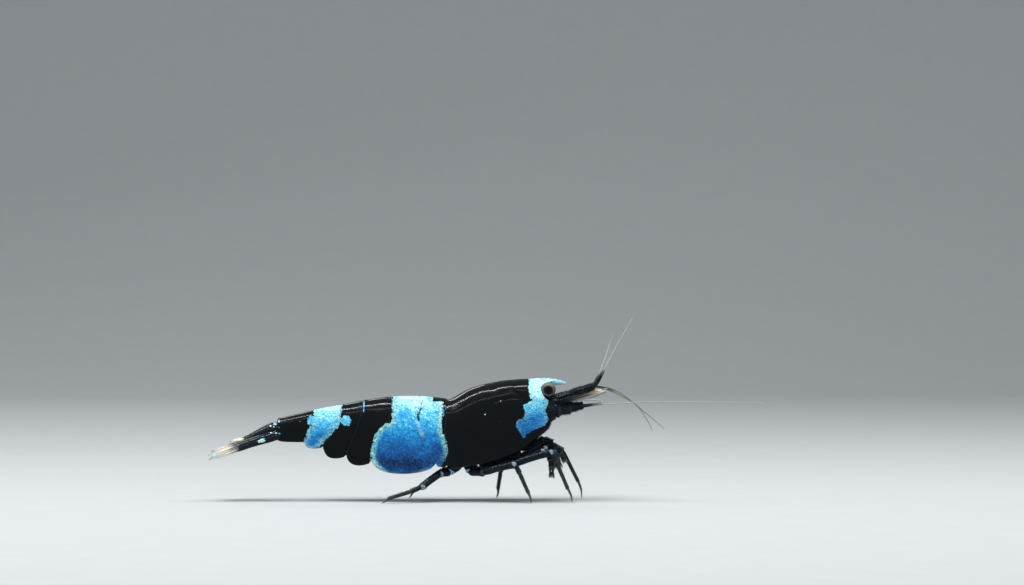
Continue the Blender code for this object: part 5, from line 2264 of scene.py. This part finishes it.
@dataclass(frozen=True)
class Panel:
    """One flat light that faces a point."""

    name: str
    place: tuple[float, float, float]
    height: float  # of the point that it faces, over the middle of the floor
    size: tuple[float, float]
    power: float
    mirrored: bool = True  # whether glossy surfaces show it

    def hang(self) -> None:
        """Add the light to the scene."""
        lamp = bpy.data.lights.new(self.name, "AREA")
        lamp.shape = "RECTANGLE"
        lamp.size, lamp.size_y = self.size[0] * PLAN.unit, self.size[1] * PLAN.unit
        lamp.energy = self.power
        made = bpy.data.objects.new(self.name, lamp)
        made.location = PLAN.place(self.place)
        way = Vector(PLAN.place((0.0, 0.0, self.height)) - PLAN.place(self.place))
        made.rotation_euler = way.to_track_quat("-Z", "Y").to_euler()
        made.visible_glossy = self.mirrored
        bpy.context.scene.collection.objects.link(made)


@dataclass
class Studio:
    """Pale floor that curves up into a backdrop, soft light and the camera."""

    eye: tuple[float, float, float] = (1.885, -240.0, 16.04)
    view_width: float = 78.77  # what the camera takes in at the model's middle plane
    frame_width: float = 36.0
    floor_colours: tuple[str, str] = ("c2c6c8", "c9cccd")
    world_strength: float = 0.3
    bend: float = 260.0  # radius of the floor's sweep
    panels: tuple[Panel, ...] = (
        Panel("broad", (-60.0, -140.0, 330.0), 5.0, (170.0, 170.0), 0.84, mirrored=False),
        Panel("strip", (0.0, -8.0, 150.0), 8.0, (340.0, 2.5), 0.21),
        Panel("second_strip", (0.0, -70.0, 150.0), 8.0, (220.0, 2.5), 0.014),
        Panel("fill", (260.0, -260.0, 120.0), 5.0, (140.0, 140.0), 0.16, mirrored=False),
        Panel("rim", (-120.0, 220.0, 200.0), 6.0, (160.0, 30.0), 0.1),
    )

    def build(self) -> None:
        """Make the floor, the lights and the camera."""
        self._lay_floor()
        world = bpy.data.worlds.new("studio")
        world.use_nodes = True
        background = world.node_tree.nodes["Background"]
        background.inputs["Color"].default_value = tint("dfe8ee")
        background.inputs["Strength"].default_value = self.world_strength
        bpy.context.scene.world = world
        for panel in self.panels:
            panel.hang()
        self._place_camera()

    def _lay_floor(self) -> None:
        """Lay a floor that sweeps up behind the model."""
        arc = np.linspace(0.0, math.pi / 2, 60)
        sweep = [(240.0 + self.bend * math.sin(a), self.bend * (1 - math.cos(a))) for a in arc]
        sweep = [(-700.0, 0.0), *sweep, (500.0, 900.0)]
        grid = np.array([[(x, y, z) for x in np.linspace(-900.0, 900.0, 13)] for y, z in sweep])
        mesh = bpy.data.meshes.new("floor")
        mesh.from_pydata(PLAN.place(grid.reshape(-1, 3)).tolist(), [], grid_faces(*grid.shape[:2]))
        mesh.shade_smooth()
        made = Recipe("paper")
        colour = made.mix(made.noise(0.35, 3.0), *(tint(code) for code in self.floor_colours))
        grain = made.relief(made.noise(3.0, 3.0), 0.05, 0.15)
        mesh.materials.append(made.dress(colour, 0.85, grain, Specular_IOR_Level=0.2))
        floor = bpy.data.objects.new("floor", mesh)
        floor.visible_glossy = False
        bpy.context.scene.collection.objects.link(floor)
        floor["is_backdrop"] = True

    def _place_camera(self) -> None:
        """Look level along +Y, from the model's right side."""
        lens = bpy.data.cameras.new("camera")
        lens.sensor_width = self.frame_width
        lens.lens = self.frame_width * abs(self.eye[1]) / self.view_width
        lens.clip_start, lens.clip_end = 0.01, 20.0
        camera = bpy.data.objects.new("camera", lens)
        camera.location = PLAN.place(self.eye)
        camera.rotation_euler = (math.radians(90.0), 0.0, 0.0)
        bpy.context.scene.collection.objects.link(camera)
        bpy.context.scene.camera = camera
        bpy.context.scene.view_settings.view_transform = "Standard"


# ---- the whole model


def main() -> None:
    """Build and dress every piece, in order."""
    logging.basicConfig(level=logging.INFO, format="%(name)s: %(message)s")
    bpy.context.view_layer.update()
    Studio().build()
    shell = ShellFinish("shell").build()
    limb = LimbFinish("limb").build()
    flesh = FleshFinish("flesh").build()
    dark_hair = HairFinish("dark_hair", "10171f", "35424d").build()
    pale_hair = HairFinish("pale_hair", "8d8f8a", "dfe4e6").build()
    brush_hair = HairFinish("brush_hair", "2a2f33", "8c9498").build()
    fan_hair = HairFinish("fan_hair", "a9a595", "eef0ec").build()
    upper_feeler = FeelerFinish("upper_feeler").build()
    inner_feeler = FeelerFinish("inner_feeler", "3b382c", "57523f", "8f9187", (0.0, 0.2)).build()
    long_feeler = FeelerFinish("long_feeler", "2a3036", "8a8e90", "b4babd", (0.04, 0.09)).build()
    markings = Markings()
    builders = (
        HeadShell(shell, markings),
        TailShell(shell, flesh, markings),
        Flesh(flesh),
        Legs(limb, dark_hair, brush_hair),
        Eyes(EyeFinish("eye").build(), limb),
        HeadLimbs(limb, ScaleFinish("feeler_scale").build(), dark_hair, pale_hair),
        Feelers(upper_feeler, inner_feeler, long_feeler, pale_hair),
        TailFan(FanFinish("fan").build(), fan_hair),
        BellyLimbs(limb, dark_hair),
    )
    for builder in builders:
        made = builder.build()
        log.info("%s done: %d pieces", type(builder).__name__, len(made))


if __name__ == "__main__":
    main()
